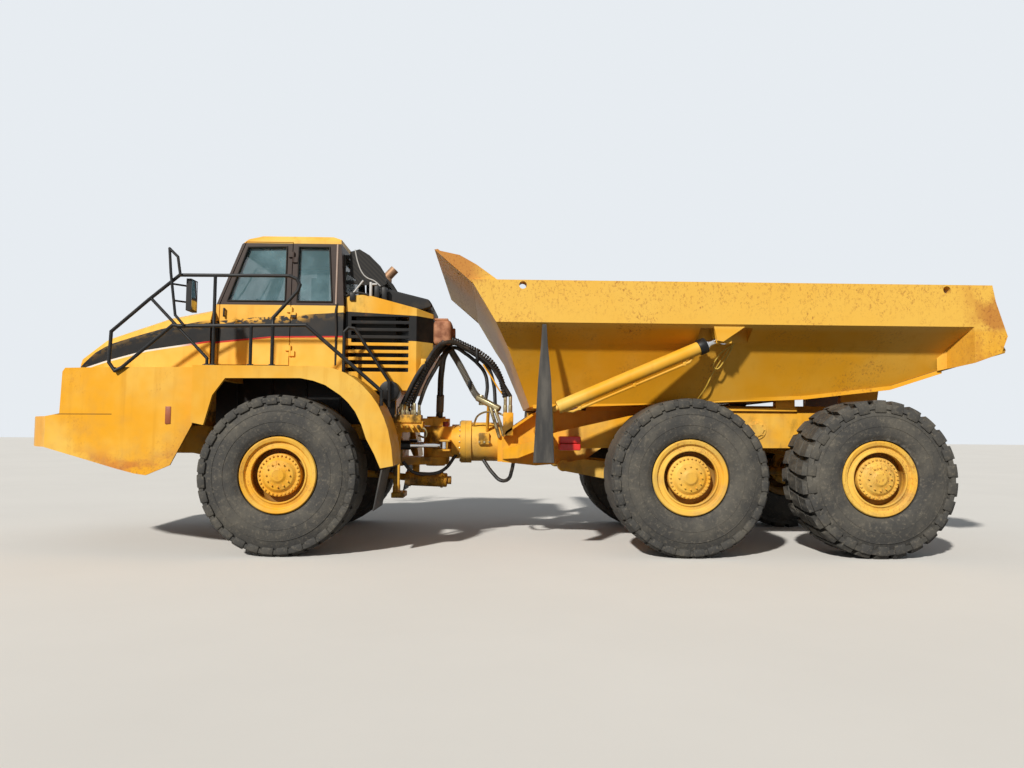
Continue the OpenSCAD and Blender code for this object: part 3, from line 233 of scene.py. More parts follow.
def yellow_paint(name, rust, dust, oil=0.0, markings=None, wear=None, slot="yellow_paint"):
    """Sun-faded yellow paint, with rust specks, streaks and dust in the amounts asked for."""
    sheen = {"Coat Weight": 0.05, "Coat Roughness": 0.4, "Specular IOR Level": 0.22}
    paint = Finish(name, slot, sheen)
    clouds = paint.spots(0.8, 4, band=(0.36, 0.66))
    streaks = paint.spots(1.3, 4, (7, 7, 0.5), band=(0.5, 0.78))
    colour = paint.mix(clouds, yellow_fresh, yellow_faded)
    colour = paint.mix(streaks * 0.5, colour, yellow_dull)
    if markings:
        colour = markings(paint, colour)
    low_down = paint.step(paint.z, 1.9, 0.3)
    dusty = paint.spots(3.5, 6, band=(0.42, 0.72)) * (low_down + 0.25) * dust
    colour = paint.mix(dusty.least(0.75), colour, road_dust)
    patches = paint.spots(1.7, 4, band=(0.62 - 0.3 * rust, 0.82 - 0.3 * rust))
    if wear:
        patches = patches.most(wear(paint))
    specks = paint.spots(44, 6, (1, 1, 0.7), 0.75, band=(0.52, 0.62))
    scars = paint.spots(6, 6, (1, 1, 0.8), 0.75, band=(0.62, 0.68))
    runs = paint.spots(5, 4, (5, 5, 0.35), band=(0.60, 0.72))
    rusty = (patches * (specks * 0.6 + scars * 0.8 + runs * 0.3) * (0.5 + rust)).least(0.9)
    tone = paint.mix(paint.noise(22, 3), rust_dark, rust_light)
    colour = paint.mix(rusty, colour, tone)
    if oil:
        wet = paint.spots(4.5, 5, (1, 1, 0.7), band=(0.62 - 0.2 * oil, 0.78 - 0.2 * oil))
        colour = paint.mix(wet * min(0.9, oil + 0.2), colour, oily_black)
    paint.feed("Base Color", colour)
    paint.feed("Roughness", 0.42 + dusty * 0.4 + rusty * 0.35 + paint.noise(60, 2) * 0.08)
    paint.bump(paint.noise(2.2, 3) * 0.8 + paint.noise(120, 2) * 0.05 - rusty * 0.1, 0.006)
    return paint


def worn_edge(name, bare):
    """Yellow paint chipped to rusty steel along a plate's edge."""
    edge = Finish(name, "yellow_paint", {"Specular IOR Level": 0.4})
    chips = edge.spots(26, 5, roughness=0.7, band=(0.66 - 0.3 * bare, 0.7 - 0.3 * bare))
    tone = edge.mix(edge.noise(18, 3), rust_dark, rust_light)
    paint = edge.mix(edge.noise(3), yellow_fresh, yellow_faded)
    edge.feed("Base Color", edge.mix(chips, paint, tone))
    edge.feed("Roughness", 0.45 + chips * 0.35)
    return edge


SHARP_ABOVE = math.radians(34)


def shaped(piece, kind, **settings):
    """Adds a modifier to a piece, sets it and applies it."""
    bpy.context.view_layer.objects.active = piece
    added = piece.modifiers.new(kind.lower(), kind)
    for name, value in settings.items():
        setattr(added, name, value)
    bpy.ops.object.modifier_apply(modifier=added.name)


def finished(node, body, paint, edge=None, width=0.006, segments=2, sharp=SHARP_ABOVE):
    """Stands a finished copy in a solid's place: whole flat faces, rounded edges, real paint."""
    piece = bpy.data.objects.new(node + "_finished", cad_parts[node].data.copy())
    bpy.context.scene.collection.objects.link(piece)
    piece.data.materials.clear()
    bpy.context.view_layer.objects.active = piece
    piece.select_set(True)
    bpy.ops.mesh.customdata_custom_splitnormals_clear()
    bpy.ops.object.mode_set(mode="EDIT")
    bpy.ops.mesh.select_all(action="SELECT")
    bpy.ops.mesh.remove_doubles(threshold=0.00002)
    bpy.ops.mesh.dissolve_limited(angle_limit=math.radians(0.4))
    bpy.ops.object.mode_set(mode="OBJECT")
    piece.data.materials.append(paint.material)
    if edge:
        piece.data.materials.append(edge.material)
    if width:
        shaped(piece, "BEVEL", width=width, segments=segments, limit_method="ANGLE",
               angle_limit=sharp, material=1 if edge else -1)
        bpy.ops.object.shade_smooth()
    else:
        bpy.ops.object.shade_smooth_by_angle(angle=sharp)
    shaped(piece, "WEIGHTED_NORMAL", keep_sharp=True)
    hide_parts(node)
    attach(piece, body)
    piece.select_set(False)


frame_paint = yellow_paint("frame_yellow", rust=0.35, dust=0.9, oil=0.5)
body_edge = worn_edge("worn_frame_edge", 0.6)
finished("front_frame", "tractor", frame_paint, body_edge)

# The valve bank and the shaft at the frame's rear end.
# Spool valves on a bracket beside the pivot, with a row of screwed hose ends on top; below them a
# shaft runs back from the axle's bowl.


def block(corner, opposite, bevel=0.006, segments=2):
    """A plate or casting between two corners, its edges eased; X is metres behind the axle."""
    corner, opposite = Vector(corner), Vector(opposite)
    middle = (corner + opposite) / 2
    bpy.ops.mesh.primitive_cube_add(
        size=1, location=(behind(middle.x), middle.y, middle.z),
        scale=[abs(length) for length in opposite - corner])
    bpy.ops.object.transform_apply()
    bpy.ops.object.mode_set(mode="EDIT")
    bpy.ops.mesh.select_all(action="SELECT")
    bpy.ops.mesh.bevel(offset=bevel, segments=segments)
    bpy.ops.object.mode_set(mode="OBJECT")
    return bpy.context.object


def round_bar(start, end, radius, sides=24, bevel=0.0):
    """A round bar between two places, its end edges eased."""
    start, end = Vector(start), Vector(end)
    middle, run = (start + end) / 2, end - start
    bpy.ops.mesh.primitive_cylinder_add(
        vertices=sides, radius=radius, depth=run.length,
        location=(behind(middle.x), middle.y, middle.z),
        rotation=run.to_track_quat("Z", "Y").to_euler())
    bpy.ops.object.transform_apply()
    bar = bpy.context.object
    if bevel:
        shaped(bar, "BEVEL", width=bevel, segments=2, limit_method="ANGLE",
               angle_limit=math.radians(50))
    return bar


def joined(*pieces):
    """Makes one piece of several."""
    bpy.ops.object.select_all(action="DESELECT")
    for piece in pieces:
        piece.select_set(True)
    bpy.context.view_layer.objects.active = pieces[0]
    bpy.ops.object.join()
    return bpy.context.object


def line_through(points, smooth=True, closed=False):
    """A curve through places, round or with corners."""
    bpy.ops.curve.primitive_bezier_curve_add()
    line = bpy.context.object
    line.matrix_world = Matrix.Identity(4)
    spline = line.data.splines[0]
    spline.bezier_points.add(len(points) - 2)
    spline.use_cyclic_u = closed
    for knot, (x, y, z) in zip(spline.bezier_points, points):
        knot.co = (behind(x), y, z)
        knot.handle_left_type = knot.handle_right_type = "AUTO" if smooth else "VECTOR"
    line.data.resolution_u = 8 if smooth else 1
    return line


def tube(points, radius, smooth=True, closed=False):
    """A pipe or hose along a line through its points."""
    line = line_through(points, smooth, closed)
    line.data.bevel_depth = radius
    line.data.bevel_resolution = 3
    line.data.use_fill_caps = True
    bpy.ops.object.convert(target="MESH")
    return bpy.context.object


def fitting(x, y, low, high, radius):
    """An upright screwed hose end: a hexagon nut with a round collar above it."""
    nut = round_bar((x, y, low), (x, y, low + (high - low) * 0.45), radius, 6, 0.002)
    collar = round_bar((x, y, low + (high - low) * 0.4), (x, y, high), radius * 0.72, 16, 0.002)
    return joined(nut, collar)


def settle(name, body, finish, *pieces, slot=None):
    """Makes one finished piece of those given, or of the last one, with its place in its mesh."""
    piece = joined(*pieces) if pieces else bpy.context.object
    piece.name = name
    bpy.ops.object.transform_apply()
    bpy.ops.object.shade_smooth_by_angle(angle=SHARP_ABOVE)
    piece.data.materials.clear()
    piece.data.materials.append(finish.material)
    if body:
        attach(piece, body)
    bpy.ops.object.select_all(action="DESELECT")
    return piece


bank_paint = yellow_paint("bank_yellow", rust=0.6, dust=0.8, oil=0.9)
bank = [block((1.06, -0.82, 1.27), (1.40, -0.58, 1.40)),
        block((1.08, -0.84, 1.38), (1.38, -0.60, 1.47)),
        block((1.00, -0.62, 1.26), (1.12, -0.40, 1.44)),
        block((1.10, -0.80, 1.22), (1.16, -0.62, 1.28))]
spool_z, spool_pitch = 1.335, 0.063
for i in range(5):
    x = 1.10 + spool_pitch * i
    bank.append(round_bar((x, -0.90, spool_z), (x, -0.81, spool_z), 0.021, 16, 0.004))
    bank.append(round_bar((x, -0.56, spool_z), (x, -0.59, spool_z), 0.024, 6, 0.003))
settle("valve_bank", "tractor", bank_paint, *bank)
zinc = Finish("zinc_plate", "steel", {"Metallic": 0.75})
grime = zinc.spots(14, 5, band=(0.42, 0.7))
zinc.tint(grime, (190, 178, 140), (96, 78, 48))
zinc.feed("Roughness", 0.3 + grime * 0.4)
HOSE_ENDS = [(1.164, -0.80), (1.21, -0.76), (1.265, -0.70), (1.30, -0.79), (1.341, -0.66),
             (1.13, -0.66)]
ends = [fitting(x, y, 1.46, 1.60, 0.023) for x, y in HOSE_ENDS]
BANK_PIPES = [
    ((1.09, -0.63, 1.47), (1.10, -0.62, 1.56), (1.22, -0.62, 1.57), (1.33, -0.62, 1.47)),
    ((1.38, -0.80, 1.33), (1.43, -0.79, 1.30), (1.42, -0.74, 1.22), (1.34, -0.70, 1.235))]
ends += [tube(way, radius) for way, radius in zip(BANK_PIPES, (0.009, 0.011))]
settle("valve_hose_ends", "tractor", zinc, *ends)
settle("front_shaft", "tractor", bank_paint,
       round_bar((0.16, 0, 0.80), (1.34, 0, 0.70), 0.042),
       round_bar((1.30, 0, 0.704), (1.40, 0, 0.696), 0.07, bevel=0.006),
       round_bar((0.17, 0, 0.80), (0.27, 0, 0.79), 0.085, bevel=0.006), slot="steel")

# The drum beside the shaft, and the step behind the wheel.
# A rusty steel bottle with banded ends, bracketed to the frame; the step hangs from the frame on
# two straps.
drum_paint = yellow_paint("drum_yellow", rust=1.0, dust=1.0, oil=0.5, slot="rusty_steel")
drum_y = -0.10
settle("shaft_drum", "tractor", drum_paint,
       round_bar((1.13, drum_y, 0.71), (1.64, drum_y, 0.69), 0.085, 40, 0.014),
       round_bar((1.17, drum_y, 0.708), (1.20, drum_y, 0.707), 0.095, 40, 0.004),
       round_bar((1.56, drum_y, 0.693), (1.59, drum_y, 0.692), 0.095, 40, 0.004),
       block((1.22, -0.14, 0.76), (1.30, -0.06, 0.90)),
       round_bar((1.62, drum_y, 0.69), (1.69, drum_y, 0.69), 0.05, 6, 0.004))
settle("hung_step", "tractor", bank_paint,
       block((1.06, -1.00, 1.21), (1.12, -0.44, 1.25)),
       block((1.10, -1.00, 0.66), (1.14, -0.94, 1.24)),
       block((1.10, -0.76, 0.66), (1.14, -0.70, 1.24)),
       round_bar((1.12, -0.97, 0.60), (1.12, -0.97, 0.68), 0.028, 12, 0.004),
       round_bar((1.12, -0.73, 0.60), (1.12, -0.73, 0.68), 0.028, 12, 0.004),
       block((1.08, -1.01, 0.55), (1.22, -0.68, 0.61), 0.01))

# The front axle, its A-frame and its struts.
# A cast bowl with flanged tubes; grease and dust cling to it.


def mottled(name, slot, first, second, noise, rough=None, fixed=()):
    """A finish clouded between two colours; rough is its least roughness, its range and scale."""
    finish = Finish(name, slot, fixed)
    finish.tint(finish.noise(*noise), first, second)
    if rough:
        least, span, scale = rough
        finish.feed("Roughness", least + finish.noise(scale) * span)
    return finish


axle_paint = yellow_paint("axle_yellow", rust=0.4, dust=1.0, oil=0.7)
finished("front_axle", "tractor", axle_paint)
strut_steel = mottled("strut_steel", "steel", (120, 116, 110), (168, 164, 158), (9, 4),
                      (0.3, 0.3, 14), {"Metallic": 0.8})
finished("front_struts", "tractor", strut_steel, width=0.004)

# The nose and bumper.
# One welded body of thick plate, bolted to the frame's front, scuffed and rusty low down where it
# meets the ground on site. A reflector is stuck on each side.
fender_seam, bumper_seam = -0.903, -1.767


def ground_wear(paint):
    """Scraped along the bumper's foot."""
    return paint.step(paint.z, 1.12, 0.84) * 0.9


def nose_markings(paint, colour):
    """The seams of the nose's side panels as dark brown lines, painted shade in their gaps, and the
    scraped foot.
    """
    upright = (paint.x > behind(fender_seam)) * (paint.z > 1.28)
    level = (paint.x < behind(bumper_seam)) * (paint.z > 1.434) * (paint.z < 1.444)
    foot = paint.step(paint.z, 1.16, 0.86)
    scraped = paint.spots(3.4, 6, (0.6, 1, 1.5), band=(0.44, 0.60)) * foot
    colour = paint.mix(scraped * 0.7, colour, srgb(196, 110, 60))
    # Painted shade: behind the fender seam, and in a thin line along the bumper's top step, the
    # nose is dark brown.
    return paint.mix((upright + level) * 0.8, colour, srgb(96, 58, 20))


nose_paint = yellow_paint(
    "nose_yellow", rust=0.35, dust=0.35, markings=nose_markings, wear=ground_wear)
panel_edge = worn_edge("panel_edge", 0.25)
finished("nose_body", "tractor", nose_paint, panel_edge, 0.012, 3)
reflector = mottled("reflector", "red_paint", (128, 60, 34), (176, 92, 40), (25, 4),
                    fixed={"Coat Weight": 0.4})
settle("side_reflectors", "tractor", reflector,
       *[block((-1.175, side * 1.553, 1.342), (-1.117, side * 1.566, 1.522), 0.004)
         for side in (-1, 1)])

# The grille and the lamps in the nose.
# Pressed black slats behind the mouth; round lamps with a clear lens.
black_paint = Finish("black_paint", "black_paint", {"Specular IOR Level": 0.3})
worn_grey = black_paint.spots(7, 5, band=(0.52, 0.8))
black_tone = black_paint.mix(worn_grey * 0.5, srgb(18, 18, 19), srgb(84, 76, 66))
chipped = black_paint.spots(40, 4, roughness=0.7, band=(0.68, 0.72))
black_paint.feed("Base Color", black_paint.mix(chipped * 0.6, black_tone, rust_dark))
black_paint.feed("Roughness", 0.45 + worn_grey * 0.35)
finished("front_grille", "tractor", black_paint, width=0.003)
lens = mottled("lamp_lens", "lamp_glass", (186, 192, 196), (232, 236, 238), (60, 1),
               fixed={"Roughness": 0.08, "Coat Weight": 1.0})
finished("headlights", "tractor", lens, width=0.008, segments=3)
lamp_x, lamp_z = -2.408, 1.64
bezels = []
for lamp_y in (-0.80, -0.98, 0.80, 0.98):
    bpy.ops.mesh.primitive_torus_add(
        major_segments=40, minor_segments=10, major_radius=0.078, minor_radius=0.009,
        location=(behind(lamp_x), lamp_y, lamp_z), rotation=(0, math.pi / 2, 0))
    bezels.append(bpy.context.object)
settle("lamp_bezels", "tractor", black_paint, *bezels)
bpy.ops.mesh.primitive_grid_add(
    x_subdivisions=70, y_subdivisions=22, size=1, location=(behind(-2.352), 0, 1.69),
    rotation=(math.pi / 2, 0, math.pi / 2))
mesh_screen = bpy.context.object
mesh_screen.dimensions = (1.38, 0.46, 0)
bpy.ops.object.transform_apply()
shaped(mesh_screen, "WIREFRAME", thickness=0.004)
settle("grille_mesh", "tractor", black_paint)

# The engine, and black sheets of painted shade in its bay.
# One casting in the frame, painted yellow once and now brown with oil. Black sheets with upright
# bars stand above the rails at the bay's sides, a painted shade that keeps the bay dark.
engine_paint = yellow_paint("engine_yellow", rust=0.6, dust=1.0, oil=1.0, slot="engine_paint")
finished("engine_block", "tractor", engine_paint, width=0.03, segments=3)
shade_sheets = []
for side in (-1, 1):
    outer = side * 0.478
    shade_sheets.append(block((-1.05, side * 0.470, 1.36), (1.04, outer, 1.90), 0.003))
    shade_sheets += [round_bar((x, outer, 1.40), (x, outer, 1.86), 0.014, 12, 0.004)
               for x in (-0.8, -0.4, 0.0, 0.4, 0.8)]
settle("bay_shade_sheets", "tractor", black_paint, *shade_sheets)

# The hood.
# A one-piece tilting cover of moulded sheet. A black band sweeps along its side to the cab, with a
# thin line below that turns from white to red.
band_top = [(-2.474, 1.967), (-2.283, 2.136), (-2.067, 2.239), (-1.849, 2.308), (-1.510, 2.401),
            (-0.982, 2.508), (-0.539, 2.558), (0.441, 2.626)]
band_low = [(-2.495, 1.944), (-1.668, 2.164), (-0.876, 2.285), (-0.322, 2.345), (0.402, 2.356)]
line_turns_red, line_thickness = -1.15, 0.019
band_black = srgb(20, 20, 21)
line_white = srgb(232, 228, 220)
line_red = srgb(196, 38, 24)


def under_arch(finish, points):
    """The height of an arched line, as the least of the straight lines through its points."""
    height = None
    for (x0, z0), (x1, z1) in zip(points, points[1:]):
        slope = (z1 - z0) / (x1 - x0)
        line = finish.x * slope + (z0 - slope * behind(x0))
        height = line if height is None else height.least(line)
    return height


def side_band(paint, colour):
    """The black band and its line, with the band's top edge flaking."""
    top, low = under_arch(paint, band_top), under_arch(paint, band_low)
    flaking = paint.spots(11, 5, (1, 1, 1.6), band=(0.46, 0.56))
    flaking = flaking * paint.step(top - paint.z, 0.11, 0.0)
    middle = paint.step(paint.x, behind(-1.2), behind(-0.9))
    middle = middle * paint.step(paint.x, behind(0.2), behind(-0.1))
    flaking = flaking * (middle + 0.1)
    inside = (paint.z < top) * (paint.z > low) * (1 - flaking)
    line = (paint.z < low) * (paint.z > low - line_thickness)
    red = paint.step(paint.x, behind(line_turns_red - 0.2), behind(line_turns_red + 0.1))
    colour = paint.mix(line, colour, paint.mix(red, line_white, line_red))
    return paint.mix(inside, colour, band_black)


hood_paint = yellow_paint("hood_yellow", rust=0.16, dust=0.2, markings=side_band)
finished("hood", "hood", hood_paint, None, 0.014, 3, math.radians(24))

# The fenders and mud flaps.
# Pressed arches with a flat deck on top, bolted to the cab's towers; rubber flaps hang behind.
fender_paint = yellow_paint("fender_yellow", rust=0.2, dust=0.35)
finished("front_fenders", "tractor", fender_paint, panel_edge, 0.01, 3)
sheet_rubber = Finish("sheet_rubber", "flap_rubber", {"Specular IOR Level": 0.3})
scuffs = sheet_rubber.spots(3, 5, (3, 3, 0.5), band=(0.4, 0.75))
sheet_rubber.tint(scuffs, (62, 61, 60), (104, 100, 94))
sheet_rubber.feed("Roughness", 0.65 + scuffs * 0.2)
sheet_rubber.bump(sheet_rubber.noise(40, 3) * 0.3 + sheet_rubber.noise(3, 2), 0.004)
finished("mud_flaps", "tractor", sheet_rubber, width=0.003)

# The cab and its door.
# A welded shell of box sections, with a hinged door. Above the belt the posts are dark brown, and
# the roof is yellow.
belt_low, belt_high = 2.705, 3.425
post_brown = srgb(56, 42, 36)


def cab_markings(paint, colour):
    """The hood's band runs on below the windows, and the posts round them are dark."""
    colour = side_band(paint, colour)
    posts = (paint.z > belt_low) * (paint.z < belt_high)
    return paint.mix(posts, colour, post_brown)


cab_paint = yellow_paint("cab_yellow", rust=0.12, dust=0.2, markings=cab_markings)
finished("cab_shell", "tractor", cab_paint, None, 0.012, 3)
finished("cab_door", "cab_door", cab_paint)

# The windows and the cab's inside.
# Tinted and dusty panes bonded into the shell and the door; moulded dark plastic behind them.
glass = Finish("green_glass", "window_glass", {"Roughness": 0.03, "Specular IOR Level": 0.8})
haze = glass.spots(2.5, 4, band=(0.35, 0.8))
glass.tint(haze, (84, 122, 130), (128, 166, 176))
glass.feed("Alpha", 0.42 + haze * 0.25)
finished("cab_glass", "tractor", glass, width=0.001, segments=1)
finished("door_glass", "cab_door", glass, width=0.001, segments=1)
cab_plastic = Finish("cab_plastic", "cabin_plastic")
grain = cab_plastic.noise(160, 2)
cab_plastic.tint(cab_plastic.noise(2), (58, 58, 60), (80, 78, 76))
cab_plastic.feed("Roughness", 0.6 + grain * 0.2)
cab_plastic.bump(grain, 0.001)
finished("cab_interior", "tractor", cab_plastic, width=0.03, segments=4)

# The cab's seals, trims, handle, wipers and lamps.
# Rubber lies round each pane, a pale strip runs up each rear post, and the wipers and the roof's
# front lamps are screwed on.
cab_half, roof_half = 0.85, 0.77
cab_floor, side_top = 1.95, 3.46


def on_side(x, z, side=-1, out=0.004):
    """A place on the cab's leaning side wall."""
    lean = (cab_half - roof_half) / (side_top - cab_floor)
    return (x, side * (cab_half - lean * (z - cab_floor) + out), z)


def seal(corners, radius=0.012):
    """A rubber bead round a pane."""
    return tube(corners, radius, smooth=False, closed=True)


seal_rubber = mottled("seal_rubber", "black_paint", (24, 23, 23), (62, 57, 52), (8, 4),
                      (0.6, 0.25, 30), {"Specular IOR Level": 0.3})
FRONT_WINDOW = [(-0.835, 2.75), (-0.625, 3.375), (-0.185, 3.385), (-0.185, 2.75)]
REAR_WINDOW = [(-0.05, 2.75), (-0.05, 3.385), (0.300, 3.385), (0.345, 2.75)]
WINDSCREEN = [(-0.74, 2.74), (-0.66, 3.34), (0.66, 3.34), (0.74, 2.74)]
REAR_PANE = [(-0.70, 2.88), (-0.64, 3.32), (0.64, 3.32), (0.70, 2.88)]
seal([on_side(x, z) for x, z in FRONT_WINDOW])
settle("door_window_seal", "cab_door", seal_rubber)
settle("window_seals", "tractor", seal_rubber,
       seal([on_side(x, z) for x, z in REAR_WINDOW]),
       seal([on_side(x, z, 1) for x, z in REAR_WINDOW]),
       seal([on_side(x, z, 1) for x, z in FRONT_WINDOW]),
       seal([(-0.964 + (z - 2.70) * 0.366, y, z) for y, z in WINDSCREEN], 0.014),
       seal([(0.484 - (z - 2.70) * 0.064, y, z) for y, z in REAR_PANE], 0.014))
post_trim = mottled("post_trim", "cabin_plastic", (150, 128, 116), (190, 168, 152), (6, 4))
settle("post_trims", "tractor", post_trim,
       *[round_bar(on_side(0.392, 2.72, side, 0), on_side(0.392, 3.42, side, 0), 0.012, 12)
         for side in (-1, 1)])
grip = {z: on_side(-0.86, z, out=0.03) for z in (2.56, 2.57, 2.65, 2.66)}
settle("door_handle", "cab_door", black_paint,
       round_bar(grip[2.56], grip[2.66], 0.011, 16, 0.003),
       *[round_bar(on_side(-0.86, z, out=-0.01), grip[z], 0.009, 12) for z in (2.57, 2.65)])
wipers = []
for y in (-0.35, 0.30):
    wipers += [round_bar((-0.955, y, 2.715), (-0.80, y + 0.22, 3.12), 0.008, 10),
               block((-0.975, y - 0.03, 2.69), (-0.935, y + 0.03, 2.74)),
               round_bar((-0.87, y + 0.14, 2.93), (-0.745, y + 0.26, 3.27), 0.009, 8)]
settle("wipers", "tractor", black_paint, *wipers)
settle("work_lamps", "tractor", lens,
       *[round_bar((-0.735, y, 3.44), (-0.665, y, 3.44), 0.055, 24, 0.008) for y in (-0.52, 0.52)])

# The radiator housing behind the cab, with its core.
# Folded yellow sheet bolted to the frame, with eight slots a side and a black band round the
# upper four. The finned core stands inside.
# The band's ends: distance behind the axle, lower and upper edge
housing_band = [(0.408, 2.343, 2.655), (1.503, 2.309, 2.598)]


def housing_markings(paint, colour):
    """The black band round the upper slots."""
    (x0, low0, top0), (x1, low1, top1) = housing_band
    run = (paint.x - behind(x0)) / (x1 - x0)
    inside = (paint.z > run * (low1 - low0) + low0) * (paint.z < run * (top1 - top0) + top0)
    return paint.mix(inside, colour, band_black)


housing_paint = yellow_paint(
    "housing_yellow", rust=0.15, dust=0.3, oil=0.15, markings=housing_markings)
finished("radiator_housing", "tractor", housing_paint, width=0.008)
core = Finish("radiator_core", "dark_metal", {"Metallic": 0.3})
fins = core.waves("X", 40)
core.tint(fins, (14, 13, 12), (40, 36, 32))
core.feed("Roughness", core.noise(8) * 0.2 + 0.6)
finished("radiator_core", "tractor", core, width=0.002, segments=1)

# What stands round the housing.
# A rubber seal to the cab, the black air can under the corner, a rusty steel box bolted on behind,
# and a strut that the hoses are clamped to.
tube([(0.405, -0.842, 2.02), (0.405, -0.838, 2.44), (0.402, -0.815, 2.70), (0.44, -0.76, 2.78),
      (0.52, -0.744, 2.845), (0.64, -0.742, 2.868), (0.75, -0.742, 2.845)], 0.012)
settle("housing_seal", "tractor", seal_rubber)
can_x, can_z = 1.03, 1.735
settle("air_can", "tractor", black_paint,
       round_bar((can_x, -0.95, can_z), (can_x, -0.745, can_z), 0.112, 40, 0.012),
       round_bar((can_x, -0.965, can_z), (can_x, -0.945, can_z), 0.03, 16, 0.004))
rusty_plate = Finish("rusty_plate", "rusty_steel", {"Metallic": 0.1})
blotches = rusty_plate.spots(7, 5, band=(0.4, 0.7))
rusty_plate.tint(blotches, (188, 132, 98), (132, 82, 58))
rusty_plate.feed("Roughness", 0.65 + blotches * 0.2)
rusty_plate.bump(rusty_plate.noise(50, 4), 0.002)
settle("rusty_box", "tractor", rusty_plate,
       block((1.487, -0.62, 2.29), (1.70, -0.22, 2.585), 0.05, 4),
       block((1.50, -0.60, 2.575), (1.66, -0.26, 2.605), 0.012),
       round_bar((1.69, -0.42, 2.44), (1.735, -0.42, 2.44), 0.07, 32, 0.01))
settle("hose_strut", "tractor", housing_paint,
       round_bar((1.144, -0.77, 1.48), (1.39, -0.77, 2.07), 0.02, 16),
       block((1.365, -0.80, 2.01), (1.425, -0.74, 2.11), 0.008))

# The rear window's guard, the air cowl and the exhaust.
# Black louvres on a pale frame behind the cab, a black moulded intake lid on brackets, and a stack
# of heat-stained steel.
guard_black = Finish("guard_black", "black_paint", {"Specular IOR Level": 0.25})
strands = guard_black.waves("DIAGONAL", 12)
guard_black.tint(strands, (10, 10, 10), (52, 49, 46))
guard_black.feed("Roughness", strands * 0.2 + 0.5)
finished("rear_window_guard", "tractor", guard_black, width=0.003)
finished("air_cowl", "tractor", black_paint, width=0.03, segments=4)
pale_grey = mottled("pale_grey", "steel", (176, 174, 172), (214, 212, 208), (9, 4))
GUARD_RIM = [(0.556, 3.405), (0.597, 3.24), (0.650, 3.125), (0.70, 3.075), (0.79, 3.035),
             (0.86, 2.975)]
settle("guard_rims", "tractor", pale_grey,
       *[tube([(x, side * 0.594, z) for x, z in GUARD_RIM], 0.007) for side in (-1, 1)],
       round_bar((0.673, -0.68, 3.021), (0.563, -0.72, 2.86), 0.011, 12),
       round_bar((0.76, -0.655, 2.80), (0.76, -0.655, 3.01), 0.018, 16, 0.004),
       round_bar((0.76, -0.655, 2.985), (0.83, -0.655, 2.985), 0.014, 6, 0.002))
settle("cowl_brackets", "tractor", black_paint,
       block((0.80, -0.66, 2.80), (0.86, -0.60, 2.97)),
       block((0.88, -0.62, 2.78), (0.94, -0.56, 2.96)),
       block((0.535, -0.765, 2.775), (0.60, -0.735, 2.87)))
stack_steel = Finish("stack_steel", "rusty_steel", {"Metallic": 0.5})
heat = stack_steel.noise(6, 4)
stack_steel.tint(heat, (120, 84, 60), (196, 158, 122))
stack_steel.feed("Roughness", 0.4 + heat * 0.4)
finished("exhaust_stack", "tractor", stack_steel, width=0.003)

# The handrails and mirrors.
# Black round tube round each deck, screwed down on small feet, with a mirror on its front corner.
finished("handrails", "tractor", black_paint, width=0)
finished("mirrors", "tractor", black_paint, width=0.012, segments=3)
mirror_glass = mottled("mirror_glass", "chrome_rod", (150, 156, 160), (186, 190, 194), (3,),
                       (0.06, 0.1, 20), {"Metallic": 1.0})
settle("mirror_panes", "tractor", mirror_glass,
       *[block((-0.957, side * 1.40, 2.535), (-0.951, side * 1.545, 2.84), 0.002)
         for side in (-1, 1)])
foot_half, deck_z = 0.035, 1.944
feet = []
for x in (-0.752, -0.692, -0.310, -0.089):
    for y in (-1.60, 1.60):
        feet.append(block((x - foot_half, y - foot_half, deck_z),
                          (x + foot_half, y + foot_half, deck_z + 0.010), 0.002))
        feet += [round_bar((x + dx, y, deck_z + 0.006), (x + dx, y, deck_z + 0.019), 0.009, 6)
                 for dx in (-0.024, 0.024)]
settle("rail_feet", "tractor", black_paint, *feet)

# The hitch.
# A casting between two upright pins; a flange with twenty bolts holds the tube that the rear frame
# rolls on, and a red cap closes its grease line. Much oil and dust lies here.


def ring_of(piece, count, centre, axis="Y"):
    """Repeats a piece round a line along an axis through a centre."""
    pivot = bpy.data.objects.new("pivot", None)
    bpy.context.scene.collection.objects.link(pivot)
    centre = Vector((behind(centre[0]), *centre[1:]))
    turn = Matrix.Rotation(2 * math.pi / count, 4, axis)
    pivot.matrix_world = Matrix.Translation(centre) @ turn @ Matrix.Translation(-centre)
    bpy.context.view_layer.update()
    shaped(piece, "ARRAY", count=count, use_relative_offset=False, use_object_offset=True,
           offset_object=pivot)
    bpy.data.objects.remove(pivot)
    return piece


hitch_paint = yellow_paint("hitch_yellow", rust=0.5, dust=0.6, oil=0.55)
finished("hitch_head", "hitch", hitch_paint, body_edge, 0.008)
flange_x, roll_z = 1.80, 1.16
bolt_z = roll_z + 0.236
bolt = round_bar((flange_x - 0.016, 0, bolt_z), (flange_x + 0.004, 0, bolt_z), 0.013, 6, 0.002)
ring_of(bolt, 20, (flange_x, 0, roll_z), "X")
settle("flange_bolts", "hitch", zinc)
round_bar((1.62, -0.20, 1.34), (1.62, -0.20, 1.40), 0.035, 20, 0.006)
red_cap = mottled("red_cap", "red_paint", (186, 44, 30), (120, 60, 40), (20, 4))
settle("red_cap", "hitch", red_cap)

# The rear frame, the walking beams, the axles and the shafts.
# Welded box sections; a beam on each side's pin carries both axles, whose casings are cast.
rear_paint = yellow_paint("rear_frame_yellow", rust=0.3, dust=0.5, oil=0.2)
finished("rear_frame", "rear_frame", rear_paint, body_edge, 0.008)
finished("walking_beams", "rear_frame", rear_paint, body_edge, 0.012, 3)
arm_paint = yellow_paint("arm_yellow", rust=0.25, dust=0.45, oil=0.1)
finished("middle_axle", "rear_frame", arm_paint)
finished("rear_axle", "rear_frame", axle_paint)
finished("drive_shafts", "rear_frame", axle_paint)

